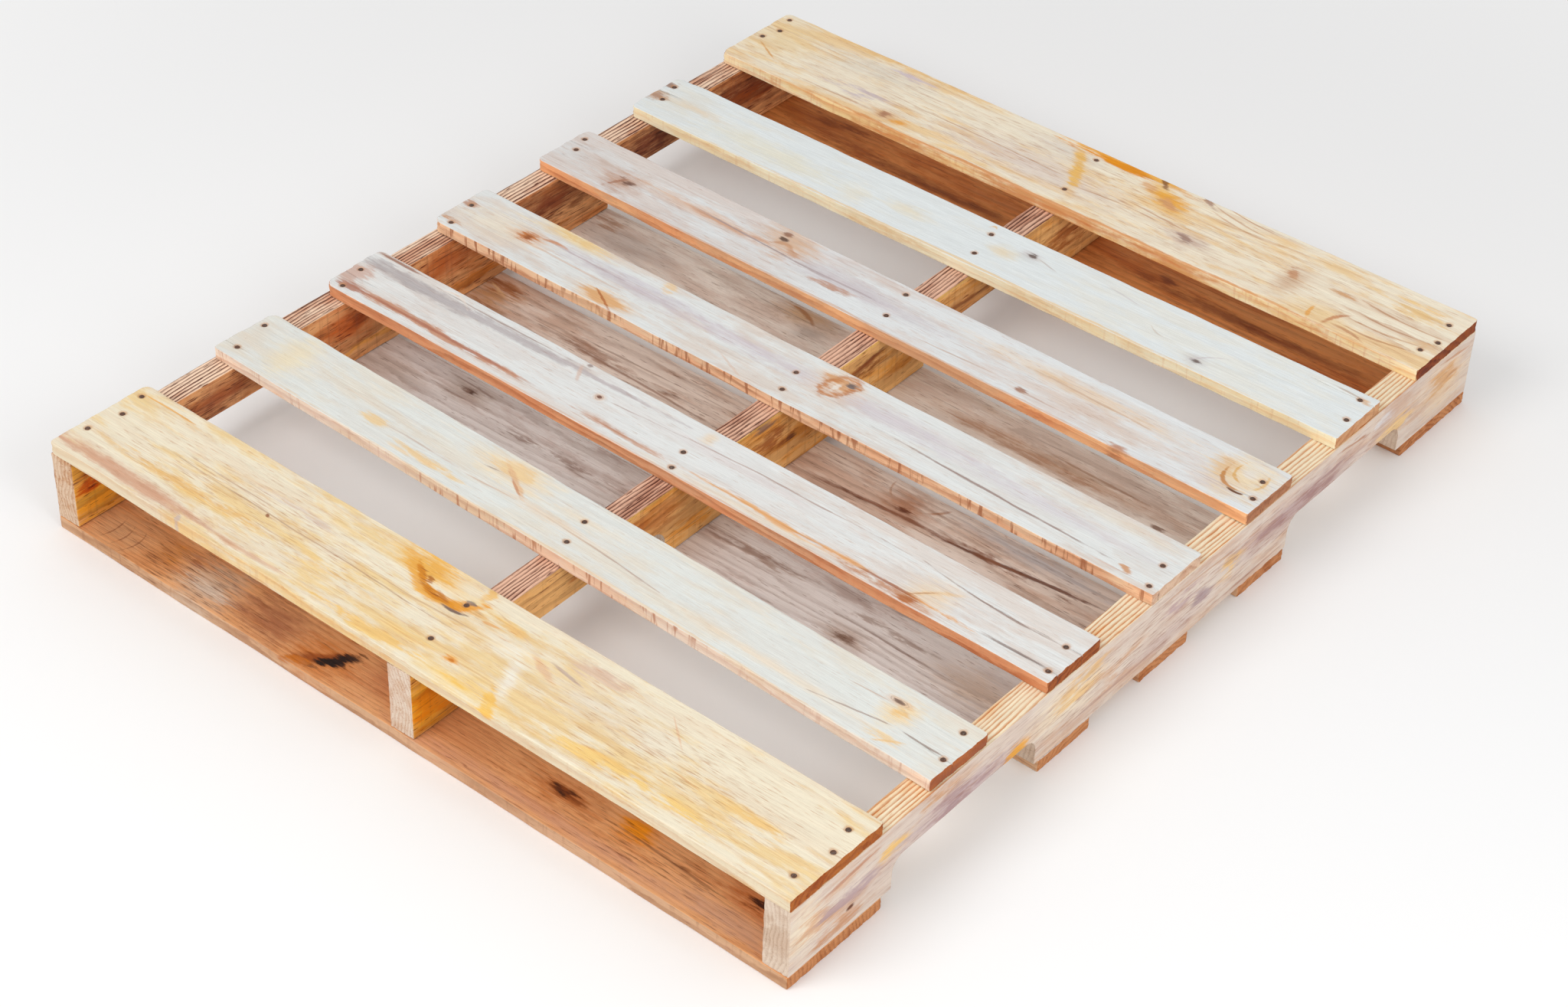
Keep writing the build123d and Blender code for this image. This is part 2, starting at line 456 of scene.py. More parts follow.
class Graph:
    """Short spellings for a node tree; any value may be a number, a tuple or another node's output."""

    def __init__(self, tree):
        self.tree = tree

    def add(self, kind, inputs=None, **settings):
        node = self.tree.nodes.new(kind)
        for key, value in settings.items():
            setattr(node, key, value)
        for key, value in (inputs or {}).items():
            if isinstance(value, bpy.types.NodeSocket):
                self.tree.links.new(value, node.inputs[key])
            else:
                node.inputs[key].default_value = value
        return node

    def math(self, operation, *values):
        return self.add("ShaderNodeMath", dict(enumerate(values)), operation=operation).outputs[0]

    def vector(self, operation, *values):
        node = self.add("ShaderNodeVectorMath", dict(enumerate(values)), operation=operation)
        return node.outputs["Value" if operation in ("DOT_PRODUCT", "LENGTH") else "Vector"]

    def combine(self, x, y, z):
        return self.add("ShaderNodeCombineXYZ", {0: x, 1: y, 2: z}).outputs[0]

    def smooth(self, value, low, high, to_low=0.0, to_high=1.0):
        inputs = {0: value, 1: low, 2: high, 3: to_low, 4: to_high}
        return self.add("ShaderNodeMapRange", inputs, interpolation_type="SMOOTHSTEP").outputs[0]

    def facing(self, turned, sign=1):
        """1 where a surface faces a way, from its dot product with it; sign is -1 for the opposite way."""
        return self.smooth(turned, sign * 0.45, sign * 0.8)

    def mix(self, factor, first, second, blend="MIX"):
        inputs = {0: factor, 6: first, 7: second}       # a mix node's sockets for colours
        return self.add("ShaderNodeMix", inputs, data_type="RGBA", blend_type=blend).outputs[2]

    def millimetres(self):
        """Where a shaded point lies in the row frame."""
        metres = self.add("ShaderNodeTexCoord").outputs["Object"]
        inputs = {"Vector": metres, "Scale": 1 / MM}
        return self.add("ShaderNodeVectorMath", inputs, operation="SCALE").outputs["Vector"]

    def noise(self, vector, detail=2.0, roughness=0.5):
        inputs = {"Vector": vector, "Scale": 1.0, "Detail": detail, "Roughness": roughness}
        return self.add("ShaderNodeTexNoise", inputs).outputs[0]

    def stretched_noise(self, position, waves, shift, detail=2.0, roughness=0.5):
        """Noise with its own wavelength each way, in millimetres, centred on 0."""
        scaled = self.vector("DIVIDE", position, waves)
        moved = self.vector("ADD", scaled, (shift, shift * 0.37, shift * 0.71))
        return self.math("SUBTRACT", self.noise(moved, detail, roughness), 0.5)


def make_mark_group():
    """Distance from a mark's middle, 1 at its rim: turned, stretched, swayed along the grain and frayed."""
    tree = bpy.data.node_groups.new("mark_reach", "ShaderNodeTree")
    for name in ("Position", "Centre", "Radii"):
        tree.interface.new_socket(name, in_out="INPUT", socket_type="NodeSocketVector")
    for name in ("Wander", "Rough", "Angle", "Bend", "Sway", "Fray"):
        tree.interface.new_socket(name, in_out="INPUT", socket_type="NodeSocketFloat")
    tree.interface.new_socket("Reach", in_out="OUTPUT", socket_type="NodeSocketFloat")
    g = Graph(tree)
    given = g.add("NodeGroupInput").outputs
    flat = g.vector("MULTIPLY", g.vector("SUBTRACT", given["Position"], given["Centre"]), (1, 1, 0))
    swayed = g.vector("ADD", flat, g.combine(0.0, g.math("MULTIPLY", given["Wander"], given["Sway"]), 0.0))
    turn = {"Vector": swayed, "Angle": g.math("MULTIPLY", given["Angle"], -1.0)}
    turned = g.add("ShaderNodeVectorRotate", turn, rotation_type="Z_AXIS").outputs[0]
    local = g.vector("DIVIDE", turned, given["Radii"])
    along = g.vector("DOT_PRODUCT", local, (1, 0, 0))
    lift = g.math("MULTIPLY", g.math("MULTIPLY", along, along), given["Bend"])
    length = g.vector("LENGTH", g.vector("SUBTRACT", local, g.combine(0.0, lift, 0.0)))
    reach = g.math("ADD", length, g.math("MULTIPLY", given["Rough"], given["Fray"]))
    g.add("NodeGroupOutput", {"Reach": reach})
    return tree


MARK_GROUP = make_mark_group()

Mark = namedtuple("Mark", "kind centre radii angle colour strength halo bend", defaults=(None, 0.0))
Palette = namedtuple("Palette", "light tint dark")
Look = namedtuple("Look", "top edge end rings heart tone lines saw marks out", defaults=(None,))
# top, edge, end, out: palettes of the wide face, the narrow face, the end grain and the pallet's outer side;
# they differ partly in the wood's own colour (weathered tops, darker end grain) and partly as painted light
# and shade: paler on the wide faces, warmer and darker orange on faces in shade
# rings: (ring width, strength on the wide face, strength on the narrow face)
# heart: (b, c) of the log's middle
# tone: how patchy the tint is; lines: strength of the fine dark grain; saw: strength of the saw's ticks
AMBER = (242, 196, 116)
BROWN = (186, 134, 104)
GREY = (176, 168, 166)
MAUVE = (204, 192, 196)
PEACH = (230, 192, 162)
SOOT = (104, 76, 62)
RUST_WASH = (196, 140, 92)
RUST_RING = (112, 70, 46)
SPLIT_SHADOW = (96, 72, 60)
USUAL = 0.8         # strength of most marks


def streak(a, b, length, thickness, angle, colour, strength=USUAL):
    """A crisp line along the grain; length and thickness are whole, angle in degrees."""
    return Mark("streak", (a, b), (length / 2, thickness / 2), angle, colour, strength)


def bow(a, b, length, thickness, angle, bend, colour, strength=USUAL, kind="streak"):
    """A curved mark: its ends lie `bend` further up b than its middle, before it is turned."""
    return Mark(kind, (a, b), (length / 2, thickness / 2), angle, colour, strength, bend=bend)


def stain(a, b, length, width, angle, colour, strength=USUAL):
    """A patch of colour with a ragged edge."""
    return Mark("stain", (a, b), (length / 2, width / 2), angle, colour, strength)


def haze(a, b, length, width, colour, strength=USUAL):
    """A soft wash of colour."""
    return Mark("haze", (a, b), (length / 2, width / 2), 0, colour, strength)


def knot(a, b, length, width, angle=0, colour=BROWN, strength=USUAL, halo=AMBER):
    """A branch's cross-section that bends the grain round it."""
    return Mark("knot", (a, b), (length / 2, width / 2), angle, colour, strength, halo)


def swirl(a, b, length, width, angle, colour, strength):
    """A ragged ring of colour, as grain grown round a branch."""
    return Mark("swirl", (a, b), (length / 2, width / 2), angle, colour, strength)


def figure(a, b, length, width, strength):
    """A stretch where the growth rings stand out."""
    return Mark("figure", (a, b), (length / 2, width / 2), 0, None, strength)


def mottle(a, b, length, width, colour, strength=USUAL):
    """A stretch broken up into small patches of colour."""
    return Mark("mottle", (a, b), (length / 2, width / 2), 0, colour, strength)


def flecks(a, b, length, width, colour, strength=USUAL):
    """A stretch crowded with short, thin lines."""
    return Mark("flecks", (a, b), (length / 2, width / 2), 0, colour, strength)


def mark_reach(g, position, noises, mark, sway, fray, grow=1.0):
    """Distance from a mark's middle, 1 at its rim; sway in millimetres, fray as a share of the radius."""
    radii = (mark.radii[0] * grow, mark.radii[1] * grow, 1.0)
    inputs = {
        "Position": position, "Wander": noises["wander"], "Rough": noises["ragged"],
        "Centre": (*mark.centre, 0.0), "Radii": radii, "Angle": radians(mark.angle),
        "Bend": mark.bend / radii[1], "Sway": sway, "Fray": fray,
    }
    return g.add("ShaderNodeGroup", inputs, node_tree=MARK_GROUP).outputs[0]


# Outlines of marks: how far they sway in millimetres, how ragged they are, and the reaches where they fade
Outline = namedtuple("Outline", "sway fray full none")
STREAK_OUTLINE = Outline(7.0, 1.3, 0.35, 1.0)
STAIN_OUTLINE = Outline(5.0, 2.6, 0.4, 1.2)
LONG_STAIN_OUTLINE = Outline(5.0, 1.6, 0.4, 1.2)
WASH_OUTLINE = Outline(8.0, 1.6, 0.0, 1.35)


def fade_out(g, position, noises, mark, outline):
    """A mark's strength in its middle, none at its outline."""
    reach = mark_reach(g, position, noises, mark, outline.sway, outline.fray)
    return g.smooth(reach, outline.full, outline.none, mark.strength, 0.0)


def mark_mask(g, position, noises, mark):
    """How strongly a mark colours each place."""
    if mark.kind == "streak":
        return fade_out(g, position, noises, mark, STREAK_OUTLINE)
    if mark.kind == "stain":
        is_long = mark.radii[0] > 4 * mark.radii[1]
        return fade_out(g, position, noises, mark, LONG_STAIN_OUTLINE if is_long else STAIN_OUTLINE)
    if mark.kind == "swirl":
        reach = mark_reach(g, position, noises, mark, 0.0, 1.5)
        broken = g.smooth(noises["grain"], -0.2, 0.1, 0.25, 1.0)
        inside = g.math("MULTIPLY", g.smooth(reach, 0.6, 0.92), broken)
        return g.math("MULTIPLY", inside, g.smooth(reach, 0.95, 1.3, mark.strength, 0.0))
    wash = fade_out(g, position, noises, mark, WASH_OUTLINE)
    if mark.kind == "mottle":
        spread = g.math("MULTIPLY_ADD", wash, 0.35, noises["mottle"])
        return g.math("MULTIPLY", g.smooth(spread, 0.12, 0.3), g.smooth(wash, 0.0, 0.5, 0.0, mark.strength))
    if mark.kind == "flecks":
        return g.math("MULTIPLY", g.smooth(noises["fleck"], 0.0, 0.13), wash)
    return wash


def add_knot(g, colour, reach, noises, mark):
    """Warm halo, faint ring lines round the knot, then its dark, uneven core."""
    shade = srgb(*mark.colour)
    halo = g.smooth(reach, 0.8, 2.6, 0.7 * mark.strength, 0.0)
    colour = g.mix(halo, colour, srgb(*mark.halo))
    wave = g.math("SINE", g.math("MULTIPLY_ADD", reach, 11.0, g.math("MULTIPLY", noises["rough"], 9.0)))
    lines = g.math("MULTIPLY", g.smooth(wave, 0.2, 0.9), g.smooth(reach, 0.9, 2.1, 0.5 * mark.strength, 0.0))
    colour = g.mix(lines, colour, shade)
    colour = g.mix(g.smooth(reach, 0.55, 1.15, mark.strength, 0.0), colour, shade)
    heart = g.math("MULTIPLY_ADD", noises["mottle"], 2.4, reach)
    return g.mix(g.smooth(heart, 0.0, 0.6, 0.55 * mark.strength, 0.0), colour, srgb(*SOOT))


def add_marks(g, colour, position, noises, marks):
    """The colour with every mark laid over it in turn; a stretch of figure has no colour of its own."""
    for mark in marks:
        if mark.kind == "knot":
            reach = mark_reach(g, position, noises, mark, 0.0, 1.3)
            colour = add_knot(g, colour, reach, noises, mark)
        elif mark.kind != "figure":
            colour = g.mix(mark_mask(g, position, noises, mark), colour, srgb(*mark.colour))
    return colour


def chance_marks(seed, half):
    """Patches, streaks and knots strewn over a side, the same ones for the same seed."""
    rng = np.random.default_rng(seed)
    marks = []
    for colour in (MAUVE, PEACH, AMBER, GREY, BROWN):
        a, b = rng.uniform(-0.9, 0.9) * half[0], rng.uniform(-0.5, 0.5) * half[1]
        marks.append(mottle(a, b, rng.uniform(160, 420), rng.uniform(30, 70), colour))
    for _ in range(3):
        a, b = rng.uniform(-0.8, 0.8) * half[0], rng.uniform(-0.6, 0.8) * half[1]
        marks.append(streak(a, b, rng.uniform(80, 260), rng.uniform(3, 6), rng.uniform(-3, 3), BROWN, 0.7))
    for _ in range(2):
        a, b = rng.uniform(-0.8, 0.8) * half[0], rng.uniform(-0.3, 0.7) * half[1]
        marks.append(knot(a, b, rng.uniform(14, 24), rng.uniform(9, 14), strength=0.75, halo=PEACH))
    return marks


def timber_frame(g, place):
    """Position in a timber's own frame, in millimetres, and how far the surface faces each of its axes."""
    from_centre = g.vector("SUBTRACT", g.millimetres(), tuple(place.centre))
    normal = g.add("ShaderNodeNewGeometry").outputs["Normal"]
    position = [g.vector("DOT_PRODUCT", from_centre, tuple(axis)) for axis in place.axes]
    facing = [g.vector("DOT_PRODUCT", normal, tuple(axis)) for axis in place.axes]
    return position, facing, normal


def wood_noises(g, position, shift):
    """The grain's building blocks; sizes are wavelengths in millimetres along a, b and c."""
    along = g.combine(g.vector("DOT_PRODUCT", position, (1.0, 0.0, 0.0)), 0.0, 0.0)
    noises = {
        "slow": g.stretched_noise(position, (420, 60, 60), shift, 2.0),
        "wander": g.stretched_noise(along, (130, 60, 60), shift + 3, 2.0),
        "rough": g.stretched_noise(position, (24, 7, 7), shift + 5, 4.0, 0.62),
        "patch": g.stretched_noise(position, (78, 17, 17), shift + 7, 5.0, 0.66),
        "cloud": g.stretched_noise(position, (340, 60, 60), shift + 8, 3.0, 0.55),
        "fibre": g.stretched_noise(position, (40, 1.1, 1.1), shift + 9, 3.0, 0.65),
        "grain": g.stretched_noise(position, (150, 3.0, 3.0), shift + 11, 3.0, 0.68),
        "fleck": g.stretched_noise(position, (24, 1.9, 1.9), shift + 12, 2.0, 0.6),
    }
    noises["ragged"] = g.math("MULTIPLY_ADD", noises["grain"], 0.7, noises["rough"])
    noises["mottle"] = g.math("MULTIPLY_ADD", noises["rough"], 0.8, noises["patch"])
    return noises


RING_SWAY = 5.0         # how far growth rings wander, in ring widths
RING_ROUGHNESS = 0.5
KNOT_BULGE = 2.2        # how far a knot pushes the rings away, in ring widths
KNOT_SPREAD = 2.4       # how far round a knot they bend, in knot radii
RELIEF = 0.8            # how deep the fine relief is, in millimetres


def empty_material(name):
    material = bpy.data.materials.new(name)
    material.use_nodes = True
    material.node_tree.nodes.clear()
    return material, Graph(material.node_tree)


def wood_material(name, place, look, seed):
    """Solid wood: rings round a heart, bent by knots, with its own colours on each kind of face, partly
    painted light and shade.
    """
    material, g = empty_material(name)
    shift = seed * 3.7      # moves each timber to its own part of the noise
    (a, b, c), (facing_a, _, _), normal = timber_frame(g, place)
    position = g.combine(a, b, c)
    noises = wood_noises(g, position, shift)

    # Growth rings: distance from the heart of the log, bent by knots
    ring_width, wide_strength, narrow_strength = look.rings
    from_heart = g.combine(0.0, g.math("SUBTRACT", b, look.heart[0]), g.math("SUBTRACT", c, look.heart[1]))
    distance = g.vector("LENGTH", from_heart)
    distance = g.math("MULTIPLY_ADD", noises["slow"], RING_SWAY * ring_width, distance)
    distance = g.math("MULTIPLY_ADD", noises["rough"], RING_ROUGHNESS * ring_width, distance)
    knots = [mark for mark in look.marks if mark.kind == "knot"]
    for mark in knots:
        wide = mark_reach(g, position, noises, mark, 0.0, 0.0, KNOT_SPREAD)
        bulge = g.math("EXPONENT", g.math("MULTIPLY", g.math("MULTIPLY", wide, wide), -1.0))
        distance = g.math("MULTIPLY_ADD", bulge, KNOT_BULGE * ring_width, distance)
    phase = g.math("FRACT", g.math("DIVIDE", distance, ring_width))
    late = g.math("MULTIPLY", g.smooth(phase, 0.3, 0.86), g.smooth(phase, 0.9, 1.0, 1.0, 0.0))

    # Which face this is, and its three colours: partly the wood's own, partly painted light and shade
    side = 1.0 if place.centre[0] >= 0 else -1.0
    is_end = g.facing(g.math("ABSOLUTE", facing_a))
    is_wide = g.facing(g.math("ABSOLUTE", g.vector("DOT_PRODUCT", normal, (0.0, 0.0, 1.0))))
    is_out = g.facing(g.vector("DOT_PRODUCT", normal, (side, 0.0, 0.0)))

    def by_face(tone):
        colour = srgb(*getattr(look.edge, tone))
        if look.out:
            colour = g.mix(is_out, colour, srgb(*getattr(look.out, tone)))
        colour = g.mix(is_wide, colour, srgb(*getattr(look.top, tone)))
        return g.mix(is_end, colour, srgb(*getattr(look.end, tone)))

    light, tint, dark = (by_face(tone) for tone in Palette._fields)

    # Patchy tint, and marks over it: growth and age, and on the stringers' sides also painted light and
    # shade; a stringer's two sides differ
    washed = g.math("MULTIPLY_ADD", noises["cloud"], 0.9, noises["patch"])
    plain = g.mix(g.smooth(washed, -0.07, 0.17, 0.0, look.tone), light, tint)
    colour = g.mix(g.math("MULTIPLY", is_end, 0.9), add_marks(g, plain, position, noises, look.marks), plain)
    stands_on_edge = place.axes[1][2] > 0.5
    if stands_on_edge:
        facing_right = g.vector("DOT_PRODUCT", normal, (1.0, 0.0, 0.0))
        colour = g.mix(g.facing(facing_right), plain, colour)
        other_side = add_marks(g, plain, position, noises, chance_marks(seed, place.half))
        colour = g.mix(g.facing(facing_right, -1), colour, other_side)

    # Rings and fine grain darken whatever they cross
    ring_strength = g.smooth(is_wide, 0.0, 1.0, narrow_strength, wide_strength)
    for mark in look.marks:
        if mark.kind == "figure":
            ring_strength = g.math("ADD", ring_strength, mark_mask(g, position, noises, mark))
    uneven = g.smooth(noises["patch"], -0.25, 0.2, 0.5, 1.15)
    crowded = g.smooth(noises["cloud"], -0.2, 0.15, 0.35, 1.0)
    rings = g.math("MULTIPLY", late, g.math("MULTIPLY", ring_strength, uneven))
    grain = g.math("MULTIPLY", g.smooth(noises["grain"], 0.06, 0.2, 0.0, look.lines), crowded)
    fleck = g.smooth(noises["fleck"], 0.12, 0.2, 0.0, min(1.2 * look.lines, 1.0))
    shade = g.vector("DIVIDE", dark, light)
    for lines in (rings, grain, fleck):
        colour = g.mix(lines, colour, g.mix(1.0, colour, shade, "MULTIPLY"))
    fibres = g.smooth(noises["fibre"], -0.3, 0.3, 0.9, 1.07)
    colour = g.mix(1.0, colour, g.combine(fibres, fibres, fibres), "MULTIPLY")

    # Saw ticks across the narrow faces, in bouts
    ticks = g.stretched_noise(g.combine(a, 0.0, c), (6.5, 9, 50), shift + 13, 2.0, 0.6)
    bouts = g.smooth(noises["cloud"], -0.12, 0.06, 0.25, 1.0)
    tick_mask = g.math("MULTIPLY", g.smooth(ticks, 0.04, 0.16, 0.0, 0.85 * look.saw), bouts)
    tick_mask = g.math("MULTIPLY", tick_mask, g.smooth(is_wide, 0.0, 1.0, 1.0, 0.04))
    colour = g.mix(tick_mask, colour, g.mix(0.25, dark, srgb(*BROWN)))

    # Rusty rings round the nails, and painted shade along the split lines
    rust = g.add("ShaderNodeAttribute", attribute_name="rust").outputs["Fac"]
    rust = g.math("MULTIPLY_ADD", noises["rough"], 0.7, rust)
    colour = g.mix(g.smooth(rust, 0.1, 0.55, 0.0, 0.6), colour, srgb(*RUST_WASH))
    colour = g.mix(g.smooth(rust, 0.5, 0.9, 0.0, 0.85), colour, srgb(*RUST_RING))
    crack = g.add("ShaderNodeAttribute", attribute_name="crack").outputs["Fac"]
    colour = g.mix(g.smooth(crack, 0.25, 0.8, 0.0, 0.9), colour, srgb(*SPLIT_SHADOW))

    # Fine relief: raised latewood, torn fibres and saw ticks
    height = g.math("MULTIPLY", late, 0.4)
    shares = ((noises["fibre"], 1.1), (noises["grain"], 1.0), (noises["rough"], 0.7), (ticks, 0.6))
    for relief, share in shares:
        height = g.math("MULTIPLY_ADD", relief, share, height)
    bump = g.add("ShaderNodeBump", {"Height": height, "Strength": 0.5, "Distance": RELIEF * MM}).outputs[0]
    roughness = g.smooth(noises["fibre"], -0.3, 0.3, 0.62, 0.82)
    inputs = {"Base Color": colour, "Roughness": roughness, "Normal": bump, "Specular IOR Level": 0.25}
    shader = g.add("ShaderNodeBsdfPrincipled", inputs)
    g.add("ShaderNodeOutputMaterial", {"Surface": shader.outputs[0]})
    return material


def nail_material():
    """Dark, rusting steel, scuffed where the hammer struck."""
    material, g = empty_material("nail_steel")
    position = g.millimetres()
    rust = g.stretched_noise(position, (2.4, 2.4, 2.4), 1.0, 4.0, 0.65)
    scuff = g.stretched_noise(position, (0.7, 4.0, 4.0), 5.0, 2.0)
    is_rust = g.smooth(rust, -0.12, 0.12)
    colour = g.mix(is_rust, srgb(88, 74, 66), srgb(104, 64, 44))
    colour = g.mix(g.smooth(scuff, 0.05, 0.2, 0.0, 0.5), colour, srgb(160, 144, 134))
    bump = g.add("ShaderNodeBump", {"Height": rust, "Strength": 0.4, "Distance": 0.0002}).outputs[0]
    inputs = {"Base Color": colour, "Metallic": g.smooth(rust, -0.12, 0.12, 0.5, 0.1),
              "Roughness": g.smooth(rust, -0.2, 0.2, 0.42, 0.8), "Normal": bump}
    shader = g.add("ShaderNodeBsdfPrincipled", inputs)
    g.add("ShaderNodeOutputMaterial", {"Surface": shader.outputs[0]})
    return material


# ================================================================ how each timber looks
# Palettes that bottom boards share, because the photo shows little of these faces
HIDDEN_EDGE = Palette((228, 186, 148), (216, 160, 118), (172, 114, 76))
BOTTOM_END = Palette((206, 140, 90), (184, 112, 62), (136, 70, 30))

LOOKS = {}
LOOKS["top_lead_board_front"] = Look(
    top=Palette((240, 229, 204), (238, 209, 154), (206, 156, 115)),
    edge=Palette((232, 216, 186), (236, 200, 140), (208, 160, 114)),
    end=Palette((179, 101, 38), (161, 77, 17), (118, 42, 2)),
    rings=(13.0, 0.16, 0.4), heart=(30, -95), tone=0.95, lines=0.36, saw=0.25,
    marks=(
        haze(-410, -53, 300, 24, (216, 174, 146), 0.85),
        stain(-400, -54, 290, 18, 0, (212, 164, 134)),
        streak(-230, -55, 170, 9, 0, (220, 178, 148), 0.7),
        mottle(-330, -22, 380, 24, (238, 192, 118), 0.7),
        streak(-190, 2, 560, 2.5, -1.2, (190, 158, 130), 0.7),
        streak(-300, 14, 260, 2.5, -1, (198, 168, 142), 0.6),
        streak(-455, 53, 110, 4, 0, (234, 170, 80)),
        mottle(-400, 30, 200, 60, (236, 212, 184), 0.6),
        mottle(-210, 26, 200, 30, (222, 206, 196), 0.7),
        mottle(-248, -58, 50, 24, (206, 158, 128)),
        mottle(-150, -20, 200, 50, (242, 206, 138), 0.6),
        haze(-56, 52, 130, 40, (244, 198, 116)),
        mottle(-62, 54, 110, 46, (238, 180, 84), 0.9),
        bow(-37, 24, 150, 30, -12, 27, (238, 178, 84), 0.9, "mottle"),
        bow(-37, 24, 140, 16, -12, 26, (232, 164, 64), 0.75, "haze"),
        bow(-34, 26, 120, 14, -12, 24, (214, 136, 36), 1.0, "mottle"),
        bow(-30, 26, 110, 12, -14, 20, (150, 84, 30), 0.9, "flecks"),
        bow(-14, 24, 56, 7, -16, 5, (196, 120, 40), 0.85, "stain"),
        bow(6, 30, 50, 14, 30, 7, (234, 154, 30), 0.85, "stain"),
        bow(2, 18, 44, 5, 6, 4, (118, 98, 92), 0.95),
        stain(-50, 39, 14, 8, -40, (168, 94, 32)),
        stain(8, 39, 12, 6, 0, (116, 108, 108)),
        stain(12, 58, 14, 22, 0, (240, 190, 104)),
        haze(-8, 52, 40, 22, (238, 228, 204), 0.7),
        streak(44, 27, 34, 5, 10, (232, 170, 96)),
        streak(60, 40, 70, 3, -14, (214, 178, 146), 0.6),
        mottle(66, 36, 50, 24, (244, 200, 126), 0.7),
        stain(50, -36, 26, 11, 0, (238, 166, 70), 0.9),
        stain(51, -36, 9, 5, 0, (206, 116, 24), 0.85),
        haze(-8, -38, 90, 14, (244, 206, 132)),
        bow(-20, 8, 260, 3, 1, 3, (206, 172, 136), 0.7),
        haze(80, 16, 90, 22, (243, 238, 224), 0.7),
        bow(113, -20, 90, 20, -66, -3, (243, 239, 226), 0.85, "haze"),
        bow(128, 13, 54, 11, -22, 2, (230, 186, 142), 0.9, "stain"),
        bow(120, -56, 70, 22, -52, 2, (246, 194, 88), 0.9, "mottle"),
        haze(80, -56, 120, 30, (246, 208, 124)),
        mottle(60, -56, 150, 22, (246, 198, 98)),
        streak(152, 23, 60, 5, -8, (180, 152, 142)),
        mottle(180, 44, 110, 40, (222, 194, 174)),
        haze(210, 10, 200, 60, (226, 212, 194), 0.5),
        mottle(280, -46, 300, 30, (246, 206, 124)),
        mottle(430, -12, 160, 30, (240, 194, 116), 0.6),
        streak(284, 32, 62, 3, -40, (230, 186, 150), 0.6),
        streak(334, -13, 60, 3, -6, (220, 172, 120), 0.7),
        streak(-246, 0, 7, 5, -30, (140, 80, 50), 0.9),
        mottle(-60, -56, 240, 26, (246, 206, 126)),
        flecks(330, 0, 340, 120, (190, 146, 102), 0.4),
        flecks(-250, 0, 500, 120, (196, 150, 106), 0.35),
        stain(-310, -64, 6, 20, 20, (190, 178, 186), 0.5),
    ))
LOOKS["top_board_2"] = Look(
    top=Palette((227, 229, 224), (232, 218, 194), (206, 184, 166)),
    edge=Palette((255, 237, 218), (253, 192, 142), (196, 126, 88)),
    end=Palette((182, 102, 50), (165, 81, 32), (136, 55, 13)),
    rings=(12.0, 0.1, 0.3), heart=(-15, -90), tone=0.45, lines=0.25, saw=0.9,
    marks=(
        haze(-430, 6, 50, 90, (240, 224, 188), 0.7),
        haze(-490, 0, 44, 80, (226, 216, 200), 0.7),
        mottle(-285, -14, 60, 26, (240, 206, 148)),
        mottle(-180, -25, 170, 18, (240, 206, 150), 0.85),
        stain(-225, -33, 40, 6, 0, (242, 210, 160), 0.6),
        streak(-220, -11, 150, 3, 1, (204, 184, 172), 0.7),
        haze(-104, 22, 120, 44, (242, 220, 182), 0.85),
        mottle(-108, 26, 90, 34, (240, 206, 152)),
        streak(-97, 14, 90, 9, -32, (230, 186, 142)),
        streak(-92, 8, 52, 4, -32, (204, 146, 110)),
        streak(-128, 14, 36, 3, 8, (160, 140, 130), 0.7),
        bow(38, -12, 250, 3, -3, -1, (184, 158, 144), 0.75),
        streak(-110, -10, 90, 3, 3, (206, 176, 156), 0.6),
        haze(-20, -8, 170, 14, (236, 212, 184), 0.7),
        haze(10, 14, 110, 12, (236, 218, 192), 0.6),
        haze(290, -22, 300, 16, (240, 220, 192), 0.6),
        haze(424, 10, 44, 50, (242, 216, 170), 0.85),
        mottle(424, 10, 36, 44, (238, 192, 122)),
        knot(414, 21, 17, 6, 5, (128, 102, 88), 0.85, PEACH),
        streak(385, 15, 80, 2.5, 4, (200, 172, 154), 0.7),
        bow(391, -16, 120, 3, 10, -1, (172, 152, 142)),
        bow(468, -10, 80, 3, -2, 1, (156, 136, 126)),
        mottle(440, -28, 80, 30, (242, 210, 158)),
        bow(440, -30, 48, 5, 32, -1, (238, 196, 136), 0.7),
        streak(0, -43, 1020, 5, 0, (240, 210, 170), 0.6),
    ))
